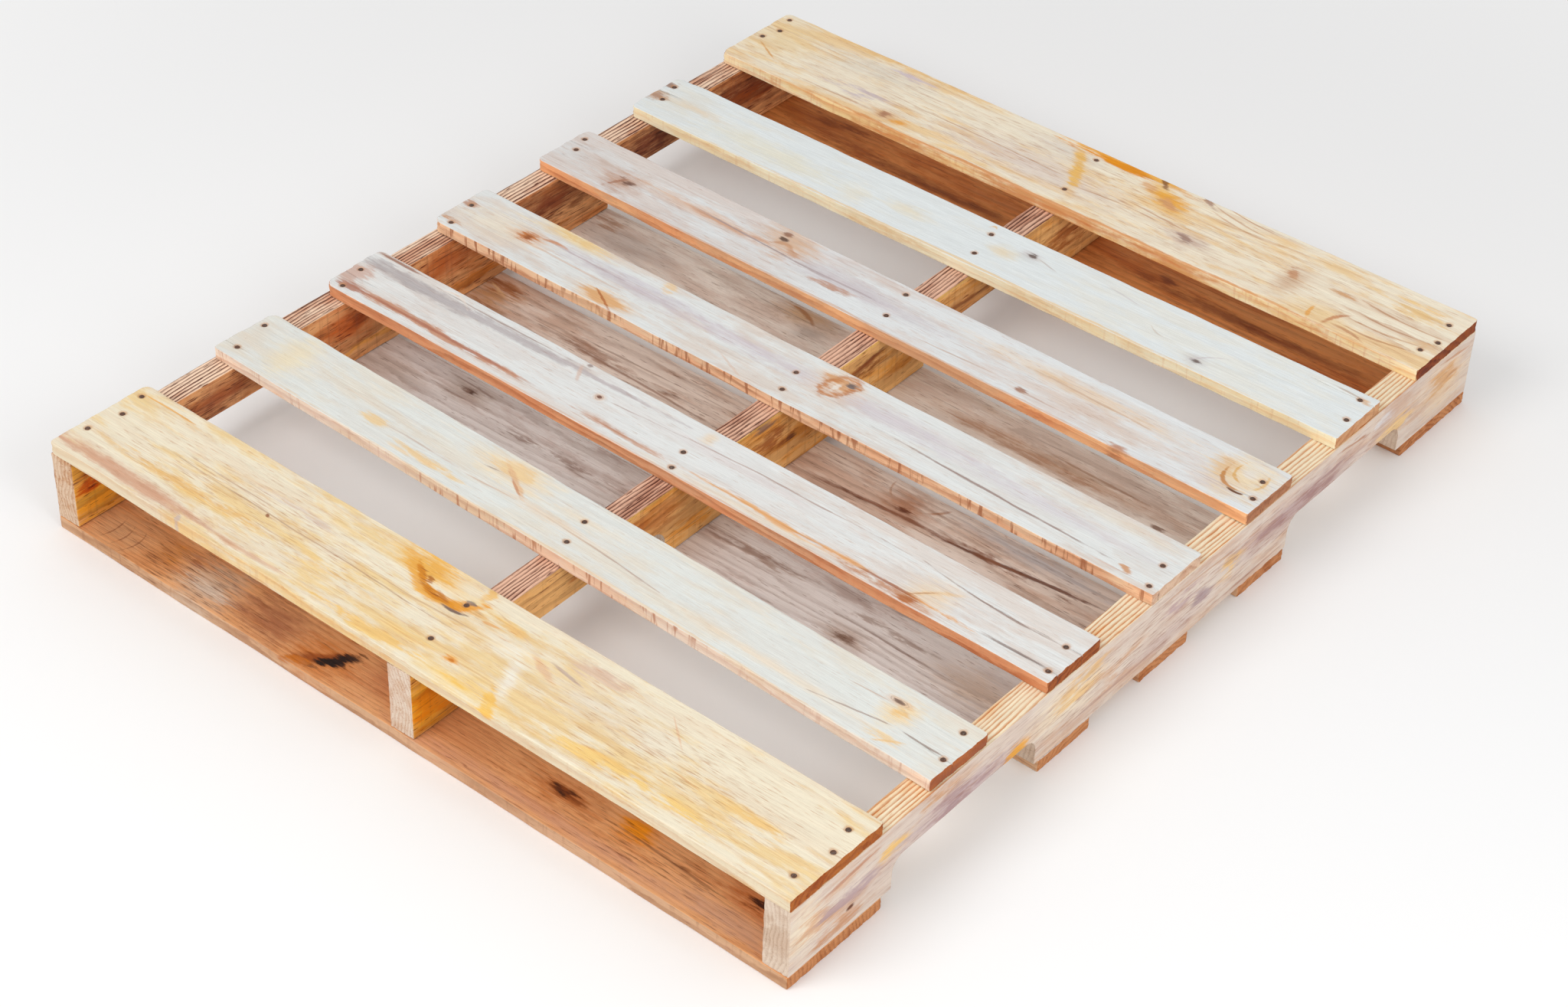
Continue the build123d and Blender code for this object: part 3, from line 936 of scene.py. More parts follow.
LOOKS["top_board_3"] = Look(
    top=Palette((230, 231, 229), (222, 206, 194), (200, 174, 158)),
    edge=Palette((235, 167, 121), (222, 138, 92), (185, 105, 59)),
    end=Palette((167, 89, 36), (145, 69, 19), (111, 39, 5)),
    rings=(10.0, 0.14, 0.6), heart=(60, -130), tone=0.55, lines=0.35, saw=0.1,
    marks=(
        haze(-340, 2, 360, 30, (226, 222, 218), 0.6),
        stain(-430, 22, 230, 24, 0, (186, 178, 177), 0.95),
        stain(-280, 25, 250, 16, 1, (190, 182, 182), 0.9),
        streak(-140, 28, 260, 8, 1, (194, 184, 184), 0.85),
        streak(-300, 34, 300, 3, 0, (164, 142, 134), 0.7),
        bow(-376, 38, 56, 6, -5, -10, (238, 224, 210), 0.75),
        streak(-470, 40, 90, 6, 0, (150, 92, 60)),
        bow(-177, 22, 36, 7, -60, 1, (218, 190, 174), 0.7),
        stain(-177, 41, 8, 6, 0, (150, 130, 124)),
        haze(6, 30, 20, 26, (238, 214, 182), 0.7),
        mottle(-345, -27, 340, 20, (202, 148, 118), 0.95),
        streak(-350, -27, 330, 6, 0, (182, 122, 98), 0.9),
        mottle(-480, -30, 70, 20, (176, 116, 92), 0.85),
        mottle(-70, -28, 170, 14, (206, 160, 134), 0.85),
        streak(-80, -28, 150, 4, 0, (196, 146, 118)),
        mottle(160, -28, 340, 13, (236, 180, 122), 0.9),
        streak(150, -28, 300, 4, 0, (226, 166, 108), 0.85),
        haze(100, -37, 320, 12, (240, 222, 194), 0.6),
        knot(-131, 5, 8, 7, 0, (120, 78, 62), 0.9, PEACH),
        bow(89, 19, 470, 3, 2, -8, (178, 152, 142)),
        haze(60, 12, 300, 16, (224, 214, 212), 0.6),
        bow(406, 11, 220, 3.5, -3, 7, (158, 134, 124), 0.85),
        haze(340, -14, 60, 56, (240, 214, 178), 0.7),
        bow(339, -12, 80, 10, 40, -6, (238, 206, 164)),
        bow(333, -17, 50, 3, 44, -2, (190, 138, 96)),
        mottle(298, -35, 170, 22, (196, 130, 84), 0.75),
        streak(296, -29, 110, 5, 0, (166, 100, 62), 0.85),
        stain(325, -37, 28, 11, 20, (182, 106, 50), 0.85),
        mottle(384, -29, 110, 15, (234, 166, 92), 0.85),
        bow(450, -27, 110, 4.5, -1, 2, (146, 128, 122), 0.85),
        stain(-494, -8, 40, 40, 0, (208, 172, 156)),
        streak(0, -43, 900, 4, 0, (226, 178, 140), 0.5),
    ))
LOOKS["top_board_4"] = Look(
    top=Palette((229, 231, 229), (222, 206, 192), (202, 174, 154)),
    edge=Palette((255, 216, 177), (243, 177, 131), (172, 98, 56)),
    end=Palette((224, 190, 162), (204, 152, 120), (164, 102, 66)),
    rings=(12.0, 0.14, 0.4), heart=(10, -90), tone=0.65, lines=0.3, saw=1.0,
    marks=(
        haze(-440, 0, 130, 60, (240, 226, 202), 0.7),
        haze(-235, 12, 270, 30, (206, 197, 205)),
        haze(-90, 10, 160, 24, (214, 206, 212), 0.7),
        haze(110, 9, 420, 32, (214, 206, 212)),
        haze(340, 2, 300, 24, (218, 212, 216), 0.7),
        haze(-356, 36, 130, 26, (244, 224, 178), 0.85),
        mottle(-350, 36, 120, 24, (240, 206, 142)),
        mottle(-212, 32, 30, 34, (238, 204, 156)),
        streak(-330, -6, 200, 4, 0, (214, 186, 166), 0.6),
        haze(-398, 4, 60, 30, (226, 184, 150)),
        stain(-399, 4, 24, 18, 0, (196, 120, 62), 0.95),
        stain(-399, 3, 12, 9, 0, (150, 84, 44)),
        bow(-368, 15, 44, 7, 6, -4, (206, 142, 100), 0.85),
        streak(-300, 12, 160, 4, 0, (192, 176, 178), 0.7),
        haze(-256, -30, 90, 32, (238, 202, 156)),
        mottle(-256, -28, 100, 34, (228, 174, 116), 0.85),
        streak(-252, -31, 70, 4.5, -30, (184, 110, 58), 0.85),
        haze(48, 18, 70, 70, (232, 206, 180)),
        mottle(44, 24, 56, 60, (216, 160, 108), 0.85),
        swirl(51, 18, 48, 30, 64, (192, 124, 72), 1.0),
        swirl(50, 18, 42, 24, 64, (206, 142, 92), 0.9),
        streak(48, 15, 24, 9, 80, (238, 230, 220), 0.85),
        stain(59, 28, 13, 10, 0, (108, 98, 98), 0.9),
        streak(290, -20, 360, 4.5, -2, (158, 134, 126), 0.85),
        stain(463, -29, 24, 10, -30, (208, 148, 98), 0.85),
        streak(450, -35, 70, 4, 0, (214, 180, 160), 0.6),
        haze(420, 30, 180, 20, (238, 228, 208), 0.5),
        mottle(-490, -32, 60, 24, (206, 144, 94), 0.85),
        stain(-499, 8, 20, 18, 0, (190, 132, 98), 0.75),
        streak(-66, -30, 70, 4, -24, (222, 200, 184), 0.7),
    ))
LOOKS["top_board_5"] = Look(
    top=Palette((229, 231, 231), (222, 206, 196), (196, 170, 156)),
    edge=Palette((255, 196, 143), (249, 167, 112), (202, 119, 71)),
    end=Palette((181, 121, 84), (163, 102, 67), (132, 71, 39)),
    rings=(12.0, 0.14, 0.45), heart=(-25, -95), tone=0.65, lines=0.35, saw=0.1,
    marks=(
        haze(-440, 0, 170, 70, (218, 206, 198), 0.7),
        mottle(-440, 10, 170, 60, (210, 188, 174), 0.6),
        haze(-60, 0, 280, 34, (206, 196, 200)),
        haze(-150, 30, 160, 30, (222, 214, 212), 0.6),
        haze(260, 16, 320, 32, (236, 212, 184)),
        mottle(250, 14, 320, 34, (230, 198, 160), 0.6),
        haze(300, -14, 220, 34, (224, 204, 188), 0.7),
        haze(-398, -12, 64, 54, (196, 152, 126), 0.85),
        streak(-403, -15, 44, 7, 62, (172, 120, 94), 0.75),
        stain(-390, -11, 20, 10, 20, (112, 78, 64), 0.85),
        stain(-404, -4, 12, 8, 0, (146, 100, 78), 0.75),
        haze(-168, 20, 90, 64, (222, 184, 150), 0.85),
        bow(-170, 16, 56, 8, 2, -22, (202, 152, 116), 0.75),
        stain(-181, 34, 12, 8, 0, (150, 104, 80), 0.85),
        stain(-178, 23, 13, 8, 0, (92, 66, 54), 0.9),
        stain(-152, 6, 26, 10, -20, (208, 162, 130), 0.75),
        haze(-290, 2, 230, 22, (226, 192, 166)),
        mottle(-250, 3, 200, 18, (210, 160, 128), 0.75),
        streak(-200, 0, 260, 4, -3, (164, 146, 146), 0.75),
        streak(-100, -3, 160, 4, 0, (178, 162, 162), 0.7),
        mottle(-76, -18, 90, 20, (194, 144, 118), 0.85),
        stain(201, -29, 14, 8, 0, (164, 114, 88), 0.85),
        streak(226, -31, 60, 4, 0, (196, 164, 146), 0.7),
        streak(110, -25, 120, 3, 3, (200, 172, 154), 0.7),
        streak(280, 10, 260, 4, -1, (206, 170, 140), 0.6),
        stain(340, -41, 28, 10, 0, (190, 124, 82)),
        haze(468, 8, 84, 84, (243, 220, 180), 0.9),
        haze(444, 12, 34, 40, (232, 192, 140)),
        bow(455, -12, 60, 7, -40, 24, (200, 134, 66), 0.85),
        bow(476, -21, 30, 5.5, 6, 6, (108, 60, 32), 0.95),
        bow(458, 5, 52, 5, -60, 18, (226, 176, 102)),
        bow(493, 9, 38, 6, 88, 6, (230, 184, 116), 0.75),
        stain(471, 16, 20, 22, 0, (234, 228, 220), 0.75),
        streak(0, -43, 1000, 5, 0, (214, 166, 130), 0.6),
    ))
LOOKS["top_board_6"] = Look(
    top=Palette((231, 236, 236), (236, 232, 219), (212, 204, 192)),
    edge=Palette((255, 248, 217), (255, 225, 163), (234, 185, 125)),
    end=Palette((214, 160, 115), (195, 126, 79), (154, 87, 48)),
    rings=(12.0, 0.06, 0.3), heart=(20, -100), tone=0.5, lines=0.12, saw=0.3,
    marks=(
        haze(-460, 0, 90, 80, (228, 222, 208), 0.6),
        haze(-300, -12, 260, 40, (234, 228, 206), 0.7),
        haze(-440, 2, 100, 16, (234, 216, 190)),
        haze(-110, 0, 70, 26, (236, 224, 196), 0.7),
        haze(-178, -16, 40, 50, (236, 228, 208), 0.6),
        haze(56, 18, 34, 20, (206, 198, 196)),
        stain(57, 19, 13, 8, 0, (104, 86, 78), 0.9),
        streak(78, 16, 44, 3, -14, (200, 190, 184), 0.7),
        bow(-12, 38, 12, 5, 0, -5, (234, 196, 148)),
        haze(26, 2, 44, 26, (236, 220, 190), 0.85),
        haze(312, -28, 30, 20, (206, 200, 198)),
        stain(313, -29, 14, 9, 0, (106, 88, 80), 0.9),
        bow(317, -16, 70, 3, 44, -9, (208, 198, 200), 0.7),
        bow(248, -10, 32, 3, -24, 3, (216, 204, 190), 0.7),
        streak(180, 24, 60, 3, -10, (212, 206, 206), 0.6),
        stain(-500, -4, 30, 24, 0, (176, 126, 92), 0.85),
        stain(-502, 25, 22, 15, 0, (150, 106, 82), 0.85),
        swirl(-496, -4, 24, 20, 0, (214, 170, 130), 0.6),
        streak(475, 35, 64, 4, -3, (190, 172, 158), 0.7),
        stain(495, 33, 14, 9, 0, (226, 180, 132), 0.7),
        streak(0, -43, 1010, 6, 0, (240, 206, 154), 0.75),
    ))
LOOKS["top_lead_board_back"] = Look(
    top=Palette((247, 236, 213), (245, 213, 163), (202, 151, 111)),
    edge=Palette((255, 239, 200), (255, 222, 161), (235, 161, 107)),
    end=Palette((150, 73, 24), (128, 49, 9), (87, 23, 2)),
    rings=(9.0, 0.14, 0.45), heart=(-40, -85), tone=0.95, lines=0.34, saw=0.35,
    marks=(
        haze(-470, 10, 110, 120, (240, 210, 156), 0.7),
        haze(-330, 30, 180, 46, (226, 218, 204), 0.7),
        mottle(-310, 46, 150, 24, (208, 194, 206)),
        mottle(-320, -26, 140, 36, (208, 196, 206)),
        haze(-60, -14, 280, 70, (228, 212, 202)),
        haze(-50, 40, 120, 40, (226, 216, 206), 0.7),
        mottle(-330, 62, 340, 18, (236, 190, 126), 0.7),
        streak(-150, -4, 420, 3, -1, (206, 170, 138), 0.7),
        bow(-16, 20, 140, 24, -62, -4, (240, 190, 104), 0.9, "mottle"),
        bow(-16, 20, 140, 20, -62, -4, (244, 196, 108), 0.75, "haze"),
        bow(30, 62, 200, 16, -2, 2, (244, 170, 44), 0.9, "stain"),
        mottle(20, 58, 190, 22, (238, 152, 22), 1.0),
        bow(98, 36, 110, 34, -38, 4, (244, 190, 92), 0.8, "haze"),
        mottle(106, 30, 100, 50, (242, 172, 56)),
        stain(72, 42, 30, 14, -20, (224, 166, 112), 0.7),
        stain(112, 24, 34, 16, -30, (222, 164, 114), 0.85),
        bow(84, 58, 26, 8, -50, 2, (130, 76, 40), 0.8, "stain"),
        stain(146, 62, 30, 9, -30, (168, 124, 104)),
        bow(190, 52, 130, 4, -12, 6, (202, 150, 108), 0.65),
        bow(200, 40, 120, 3.5, -8, 8, (210, 160, 118), 0.6),
        bow(196, 62, 120, 3, -10, 5, (200, 144, 100), 0.7),
        figure(220, 46, 150, 50, 0.4),
        haze(168, -22, 70, 40, (214, 190, 176), 0.85),
        stain(166, -22, 24, 14, -20, (160, 128, 116), 0.85),
        streak(110, -4, 130, 4, -4, (202, 158, 124), 0.75),
        bow(60, -12, 150, 3, 2, -6, (206, 166, 134), 0.7),
        haze(-262, -45, 50, 30, (222, 178, 134)),
        stain(-263, -44, 18, 16, 0, (184, 134, 104), 0.85),
        stain(-238, -46, 30, 14, 10, (240, 170, 74), 0.9),
        streak(-330, -47, 150, 5, 0, (208, 166, 130), 0.75),
        streak(-466, -25, 66, 4, -28, (226, 164, 94)),
        haze(306, -12, 44, 80, (214, 176, 142), 0.7),
        stain(300, 4, 16, 24, 20, (204, 148, 108)),
        haze(366, -42, 90, 44, (242, 208, 152)),
        bow(354, -48, 40, 7, -80, 4, (242, 176, 88), 0.85),
        bow(384, -38, 44, 7, 60, -5, (204, 134, 90), 0.8, "stain"),
        bow(412, -54, 60, 6, -12, -4, (206, 150, 108), 0.75),
        mottle(360, 6, 80, 20, (214, 158, 104)),
        figure(445, -14, 160, 80, 0.5),
        bow(445, 4, 140, 4, -3, 6, (204, 152, 108), 0.65),
        bow(445, -16, 140, 4, 1, 8, (200, 146, 102), 0.65),
        bow(440, -30, 140, 4.5, 4, 9, (200, 146, 102), 0.65),
        bow(440, -46, 110, 4, 5, 7, (200, 144, 98), 0.75),
        mottle(440, 36, 200, 60, (242, 204, 138), 0.7),
        flecks(0, 0, 1010, 130, (196, 150, 108), 0.3),
        streak(0, -64, 1010, 8, 0, (226, 152, 84), 0.85),
    ))
LOOKS["bottom_lead_board_front"] = Look(
    top=Palette((238, 178, 125), (215, 142, 86), (130, 65, 28)),
    edge=Palette((217, 174, 137), (200, 150, 108), (155, 101, 68)),
    end=BOTTOM_END,
    rings=(6.0, 0.18, 0.4), heart=(-420, -60), tone=0.7, lines=0.4, saw=0.5,
    marks=(
        haze(-440, -36, 120, 80, (208, 160, 118)),
        bow(-446, -43, 52, 3, -90, -8, (150, 96, 64), 0.7),
        bow(-428, -45, 48, 3, -88, -9, (150, 96, 64), 0.7),
        bow(-410, -43, 48, 3, -84, -10, (156, 100, 68), 0.7),
        haze(-370, -34, 60, 60, (196, 128, 70)),
        mottle(-366, -30, 60, 40, (224, 146, 60)),
        stain(-338, -24, 26, 14, 0, (176, 96, 40), 0.85),
        haze(-300, -40, 90, 90, (216, 190, 166), 0.9),
        mottle(-300, -50, 120, 60, (234, 218, 202)),
        flecks(-340, -40, 260, 90, (126, 78, 54), 0.6),
        haze(-210, -34, 120, 70, (168, 104, 72), 0.85),
        mottle(-220, -30, 120, 50, (140, 82, 54), 0.6),
        haze(-130, -40, 90, 70, (206, 118, 42), 0.85),
        bow(-132, -42, 100, 22, 40, 2, (150, 74, 28), 0.85),
        stain(-116, -34, 56, 17, 50, (46, 32, 30), 1.0),
        stain(-122, -42, 30, 13, 20, (40, 28, 26), 0.95),
        stain(-150, -60, 34, 10, 20, (212, 124, 38)),
        haze(-50, -24, 90, 60, (204, 134, 90)),
        haze(70, -36, 180, 70, (206, 140, 92), 0.7),
        mottle(60, -54, 160, 30, (220, 162, 124), 0.7),
        haze(184, -24, 110, 44, (196, 112, 46), 0.85),
        stain(184, -22, 36, 15, 0, (70, 34, 18), 1.0),
        mottle(186, -24, 90, 34, (150, 78, 30)),
        haze(277, -14, 60, 44, (240, 150, 40), 0.9),
        stain(274, -12, 40, 26, 0, (250, 158, 20), 0.9),
        haze(200, -58, 500, 24, (214, 160, 132), 0.7),
        streak(330, -26, 200, 4, -3, (126, 70, 40), 0.6),
        flecks(340, -36, 320, 60, (120, 66, 38), 0.5),
        haze(430, -14, 110, 40, (196, 100, 30), 0.85),
        stain(434, -12, 46, 18, 10, (76, 36, 18), 1.0),
        haze(420, -48, 180, 34, (212, 166, 140), 0.7),
    ))
LOOKS["bottom_board_2"] = Look(
    top=Palette((241, 232, 228), (213, 189, 180), (148, 113, 95)),
    edge=HIDDEN_EDGE,
    end=BOTTOM_END,
    rings=(7.0, 0.3, 0.4), heart=(40, -90), tone=0.7, lines=0.5, saw=0.3,
    marks=(
        haze(-337, 20, 80, 44, (196, 174, 160)),
        stain(-337, 21, 24, 14, 0, (126, 92, 76), 0.85),
        stain(-335, 21, 10, 7, 0, (90, 64, 54), 0.9),
        streak(-340, 32, 90, 4, -3, (156, 128, 114), 0.6),
        bow(-345, 6, 60, 5, 2, 4, (164, 136, 120), 0.6),
        haze(246, -26, 70, 36, (192, 162, 144)),
        stain(246, -27, 26, 13, 0, (132, 98, 80), 0.85),
        mottle(-190, -2, 280, 20, (166, 138, 126)),
        mottle(100, 16, 280, 24, (178, 148, 132)),
        mottle(280, 10, 280, 20, (170, 142, 128), 0.7),
        streak(300, -4, 260, 4, -2, (158, 130, 116), 0.6),
        haze(400, 0, 120, 60, (218, 190, 166), 0.7),
        haze(-440, -10, 120, 60, (206, 184, 168), 0.6),
    ))
LOOKS["bottom_board_3"] = Look(
    top=Palette((249, 232, 219), (223, 189, 167), (147, 102, 76)),
    edge=HIDDEN_EDGE,
    end=BOTTOM_END,
    rings=(6.5, 0.3, 0.4), heart=(-30, -80), tone=0.8, lines=0.5, saw=0.3,
    marks=(
        haze(-456, 0, 90, 80, (206, 146, 84), 0.85),
        mottle(-456, 10, 90, 70, (176, 104, 52)),
        streak(-456, 14, 52, 5, -20, (236, 196, 146), 0.7),
        haze(160, 8, 70, 60, (190, 130, 92), 0.85),
        stain(160, 3, 26, 12, 0, (116, 58, 34), 0.9),
        bow(194, 24, 40, 6, 48, 4, (196, 140, 104), 0.75),
        bow(128, 24, 36, 5, 120, -6, (206, 160, 128), 0.7),
        bow(145, -8, 240, 9, 3, -3, (140, 84, 58), 0.85),
        bow(315, 1, 260, 7, 6, 1, (118, 66, 44), 0.9),
        mottle(300, 0, 260, 24, (150, 94, 66)),
        haze(320, 30, 220, 26, (212, 206, 208)),
        mottle(-240, -8, 300, 40, (178, 132, 106), 0.7),
        streak(-200, -14, 260, 5, -2, (160, 112, 86), 0.7),
        streak(-240, 10, 200, 4, 1, (168, 132, 112), 0.6),
    ))
LOOKS["bottom_board_4"] = Look(
    top=Palette((249, 237, 226), (226, 202, 187), (164, 129, 105)),
    edge=HIDDEN_EDGE,
    end=BOTTOM_END,
    rings=(8.0, 0.25, 0.4), heart=(20, -80), tone=0.8, lines=0.5, saw=0.3,
    marks=(
        haze(-400, 0, 160, 60, (208, 198, 192), 0.6),
        haze(-150, 28, 90, 40, (214, 170, 122)),
        bow(-148, 31, 70, 9, -24, -7, (180, 118, 70)),
        haze(-126, 6, 50, 40, (186, 170, 160), 0.7),
        haze(230, -2, 400, 34, (206, 168, 140)),
        mottle(230, -4, 400, 30, (188, 142, 112), 0.75),
        mottle(120, 30, 200, 16, (222, 196, 174), 0.6),
        stain(386, -20, 16, 9, 0, (130, 86, 64)),
        streak(300, 8, 240, 5, -2, (176, 136, 110), 0.7),
        mottle(-460, 20, 90, 40, (196, 150, 116), 0.7),
    ))
LOOKS["bottom_lead_board_back"] = Look(
    top=Palette((221, 146, 81), (192, 106, 45), (106, 39, 6)),
    edge=Palette((196, 136, 92), (180, 114, 70), (140, 82, 48)),
    end=BOTTOM_END,
    rings=(6.0, 0.22, 0.5), heart=(-30, -70), tone=0.8, lines=0.4, saw=0.5,
    marks=(
        haze(-400, 20, 200, 60, (176, 100, 44)),
        mottle(-380, 30, 220, 40, (140, 72, 26), 0.7),
        haze(-200, -4, 420, 24, (120, 58, 22)),
        mottle(-120, 26, 200, 30, (206, 136, 80), 0.7),
        haze(250, 34, 420, 26, (212, 146, 88)),
        haze(250, 10, 420, 20, (126, 62, 24)),
        mottle(200, 16, 360, 24, (110, 52, 18), 0.6),
        stain(126, 24, 28, 16, 0, (128, 66, 34)),
        streak(250, -6, 380, 8, 0, (196, 130, 78), 0.7),
    ))
LOOKS["stringer_right"] = Look(
    top=Palette((244, 229, 198), (236, 192, 138), (204, 130, 70)),
    edge=Palette((228, 180, 132), (214, 152, 102), (170, 104, 64)),
    end=Palette((228, 208, 188), (208, 180, 156), (160, 112, 74)),
    out=Palette((227, 211, 197), (220, 186, 160), (191, 152, 135)),
    rings=(4.6, 0.9, 0.25), heart=(12, -170), tone=0.8, lines=0.35, saw=0.06,
    marks=(
        haze(-590, 10, 60, 90, (246, 232, 206)),
        mottle(-560, 0, 130, 80, (222, 170, 124), 0.7),
        streak(-520, 26, 120, 7, 4, (190, 124, 88), 0.7),
        mottle(-520, 2, 130, 34, (188, 164, 168), 0.85),
        mottle(-540, -30, 120, 24, (208, 150, 106)),
        mottle(-452, 12, 80, 30, (248, 202, 116), 0.9),
        haze(-360, 2, 230, 46, (196, 172, 174), 0.85),
        mottle(-350, 4, 240, 50, (174, 142, 144)),
        mottle(-400, 30, 110, 24, (216, 166, 124)),
        mottle(-260, -8, 60, 50, (240, 168, 48), 0.95),
        stain(-250, -31, 14, 10, 0, (90, 54, 36), 0.95),
        streak(-232, -40, 40, 6, -40, (140, 84, 54)),
        streak(-520, -18, 16, 6, 8, (104, 54, 30), 0.98),
        haze(-180, 10, 140, 60, (248, 232, 202), 0.7),
        mottle(-160, 20, 140, 50, (240, 198, 134)),
        mottle(-90, -10, 120, 60, (214, 170, 136), 0.7),
        mottle(20, 14, 110, 40, (196, 168, 170), 0.85),
        mottle(60, -6, 60, 34, (170, 146, 152)),
        haze(-10, -20, 160, 24, (206, 180, 174), 0.6),
        mottle(116, 8, 70, 44, (246, 200, 118), 0.85),
        haze(250, 8, 280, 46, (190, 162, 162), 0.85),
        mottle(260, 6, 280, 50, (170, 134, 132)),
        streak(350, 28, 90, 5, -8, (184, 120, 82), 0.7),
        mottle(410, 24, 70, 26, (226, 224, 226)),
        mottle(440, -4, 110, 40, (244, 206, 142), 0.85),
        haze(550, 0, 110, 80, (238, 206, 166), 0.7),
        mottle(550, 6, 130, 60, (222, 168, 112)),
        streak(570, 30, 80, 5, -6, (196, 130, 86), 0.6),
        streak(-80, -26, 320, 5, 0, (190, 154, 140), 0.7),
        streak(150, -34, 160, 5, 0, (180, 132, 112), 0.7),
        streak(60, 26, 260, 4, -3, (200, 150, 116), 0.6),
        flecks(0, 0, 1250, 90, (176, 132, 112), 0.5),
    ))
LOOKS["stringer_centre"] = Look(
    top=Palette((238, 191, 163), (190, 133, 107), (96, 46, 30)),
    edge=Palette((250, 198, 128), (242, 167, 72), (154, 82, 31)),
    end=Palette((234, 218, 200), (222, 194, 168), (196, 146, 112)),
    rings=(4.4, 0.95, 0.4), heart=(-18, -120), tone=0.9, lines=0.8, saw=0.3,
    marks=(
        # Painted light: the bright yellow-orange at the front end of the right side
        haze(-585, -6, 120, 120, (255, 184, 40), 1.0),
        mottle(-580, -10, 120, 80, (250, 150, 8), 0.9),
        haze(-520, -10, 120, 70, (248, 180, 80)),
        # Painted highlight: a bright golden line along the top edge of the right side
        streak(0, 41, 1240, 5, 0, (250, 206, 116)),
        mottle(-320, 20, 200, 40, (206, 122, 54), 0.85),
        mottle(-220, -20, 240, 34, (240, 160, 62), 0.85),
        haze(-400, -22, 200, 24, (244, 190, 104), 0.7),
        haze(-240, 16, 120, 50, (196, 112, 44)),
        stain(-64, 34, 40, 12, 0, (140, 112, 104)),
        mottle(-44, 10, 120, 50, (170, 92, 42), 0.85),
        stain(-16, -4, 20, 9, 0, (110, 60, 40), 0.85),
        stain(66, 20, 34, 16, 0, (126, 104, 98)),
        streak(116, 22, 70, 9, 8, (104, 50, 26), 0.9),
        mottle(116, 18, 90, 44, (156, 84, 40), 0.85),
        mottle(60, -20, 120, 24, (160, 92, 46)),
        haze(300, 0, 200, 70, (190, 116, 58), 0.7),
        streak(300, 10, 300, 8, -2, (160, 94, 50), 0.7),
        streak(460, -14, 200, 7, 0, (176, 108, 58), 0.6),
        mottle(520, 0, 160, 80, (186, 104, 42)),
    ))
LOOKS["stringer_left"] = Look(
    top=Palette((254, 221, 192), (219, 160, 127), (102, 51, 34)),
    edge=Palette((245, 183, 125), (223, 140, 76), (125, 57, 29)),
    end=Palette((224, 196, 168), (206, 160, 120), (176, 112, 66)),
    out=Palette((230, 208, 187), (220, 185, 152), (185, 141, 115)),
    rings=(4.6, 1.0, 0.45), heart=(10, 150), tone=0.9, lines=0.9, saw=0.3,
    marks=(
        # Painted light: the bright orange at the front end, where light comes in under the lead board
        haze(-570, 0, 170, 130, (255, 190, 70), 1.0),
        mottle(-575, -20, 110, 60, (255, 176, 50), 0.9),
        mottle(-575, 12, 90, 50, (210, 84, 4), 0.95),
        haze(-600, 30, 50, 40, (255, 190, 80), 0.9),
        streak(0, 40, 1240, 5, 0, (226, 150, 96), 0.7),
        # Partly painted shade: the dark brown washes along the upper half, darker towards the back, under the
        # deck boards; partly the wood's own colour
        haze(-400, 16, 200, 50, (160, 82, 48), 0.85),
        flecks(-400, 14, 200, 44, (104, 46, 26), 0.7),
        mottle(-360, -24, 180, 26, (236, 168, 92), 0.85),
        haze(-205, 12, 110, 60, (208, 96, 30), 0.85),
        mottle(-190, 20, 140, 50, (150, 62, 22)),
        mottle(-200, -26, 260, 20, (240, 170, 84), 0.85),
        haze(-50, 14, 140, 56, (190, 92, 36)),
        mottle(20, -26, 340, 24, (224, 140, 62), 0.85),
        haze(130, 14, 180, 56, (136, 62, 30), 0.95),
        haze(300, 14, 200, 64, (122, 54, 28), 0.95),
        mottle(280, -20, 260, 30, (190, 108, 50), 0.75),
        haze(480, 6, 280, 90, (128, 54, 18), 0.95),
        mottle(470, -10, 260, 60, (170, 84, 28), 0.7),
        flecks(180, 0, 800, 80, (88, 40, 22), 0.5),
    ))

WEARS = {
    "top_lead_board_front": Wear((7, 9, 2, 4), ((-440, 60, 1, 1.2), (380, 80, -1, 1.0)), (), 0.35),
    "top_board_2": Wear((5, 9, 2, 3), ((-470, 30, 1, 1.5),), ((-12, 1, 46, 0.5), (-26, -1, 30, 0.45)), 0.25),
    "top_board_3": Wear((13, 8, 2, 2), ((-490, 25, -1, 3.0), (320, 42, -1, 3.2)),
                        ((12, 1, 150, 0.6), (-28, 1, 120, 0.7), (-12, -1, 60, 0.7)), 0.3),
    "top_board_4": Wear((12, 7, 2, 3), ((-245, 25, -1, 2.2), (466, 14, -1, 1.6)), ((-34, 1, 60, 0.45),), 0.3),
    "top_board_5": Wear((8, 10, 3, 4), ((340, 18, -1, 1.4),), ((-17, 1, 40, 0.4), (14, -1, 36, 0.45)), 0.35),
    "top_board_6": Wear((9, 11, 2, 3), ((-495, 20, 1, 2.4),), ((33, 1, 90, 0.5), (8, -1, 40, 0.5)), 0.25),
    "top_lead_board_back": Wear((8, 10, 3, 5), ((120, 60, 1, 1.8), (-400, 90, 1, 1.0)), (), 0.35),
}

# ================================================================ build every piece
TOP = ["top_lead_board_front"] + [f"top_board_{n}" for n in range(2, 7)] + ["top_lead_board_back"]
BOTTOM = ["bottom_lead_board_front"] + [f"bottom_board_{n}" for n in range(2, 5)] + ["bottom_lead_board_back"]
STRINGERS = ["stringer_left", "stringer_centre", "stringer_right"]


def finish_piece(piece, node, material):
    piece.data.materials.append(material)
    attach(piece, "root")
    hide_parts(node)


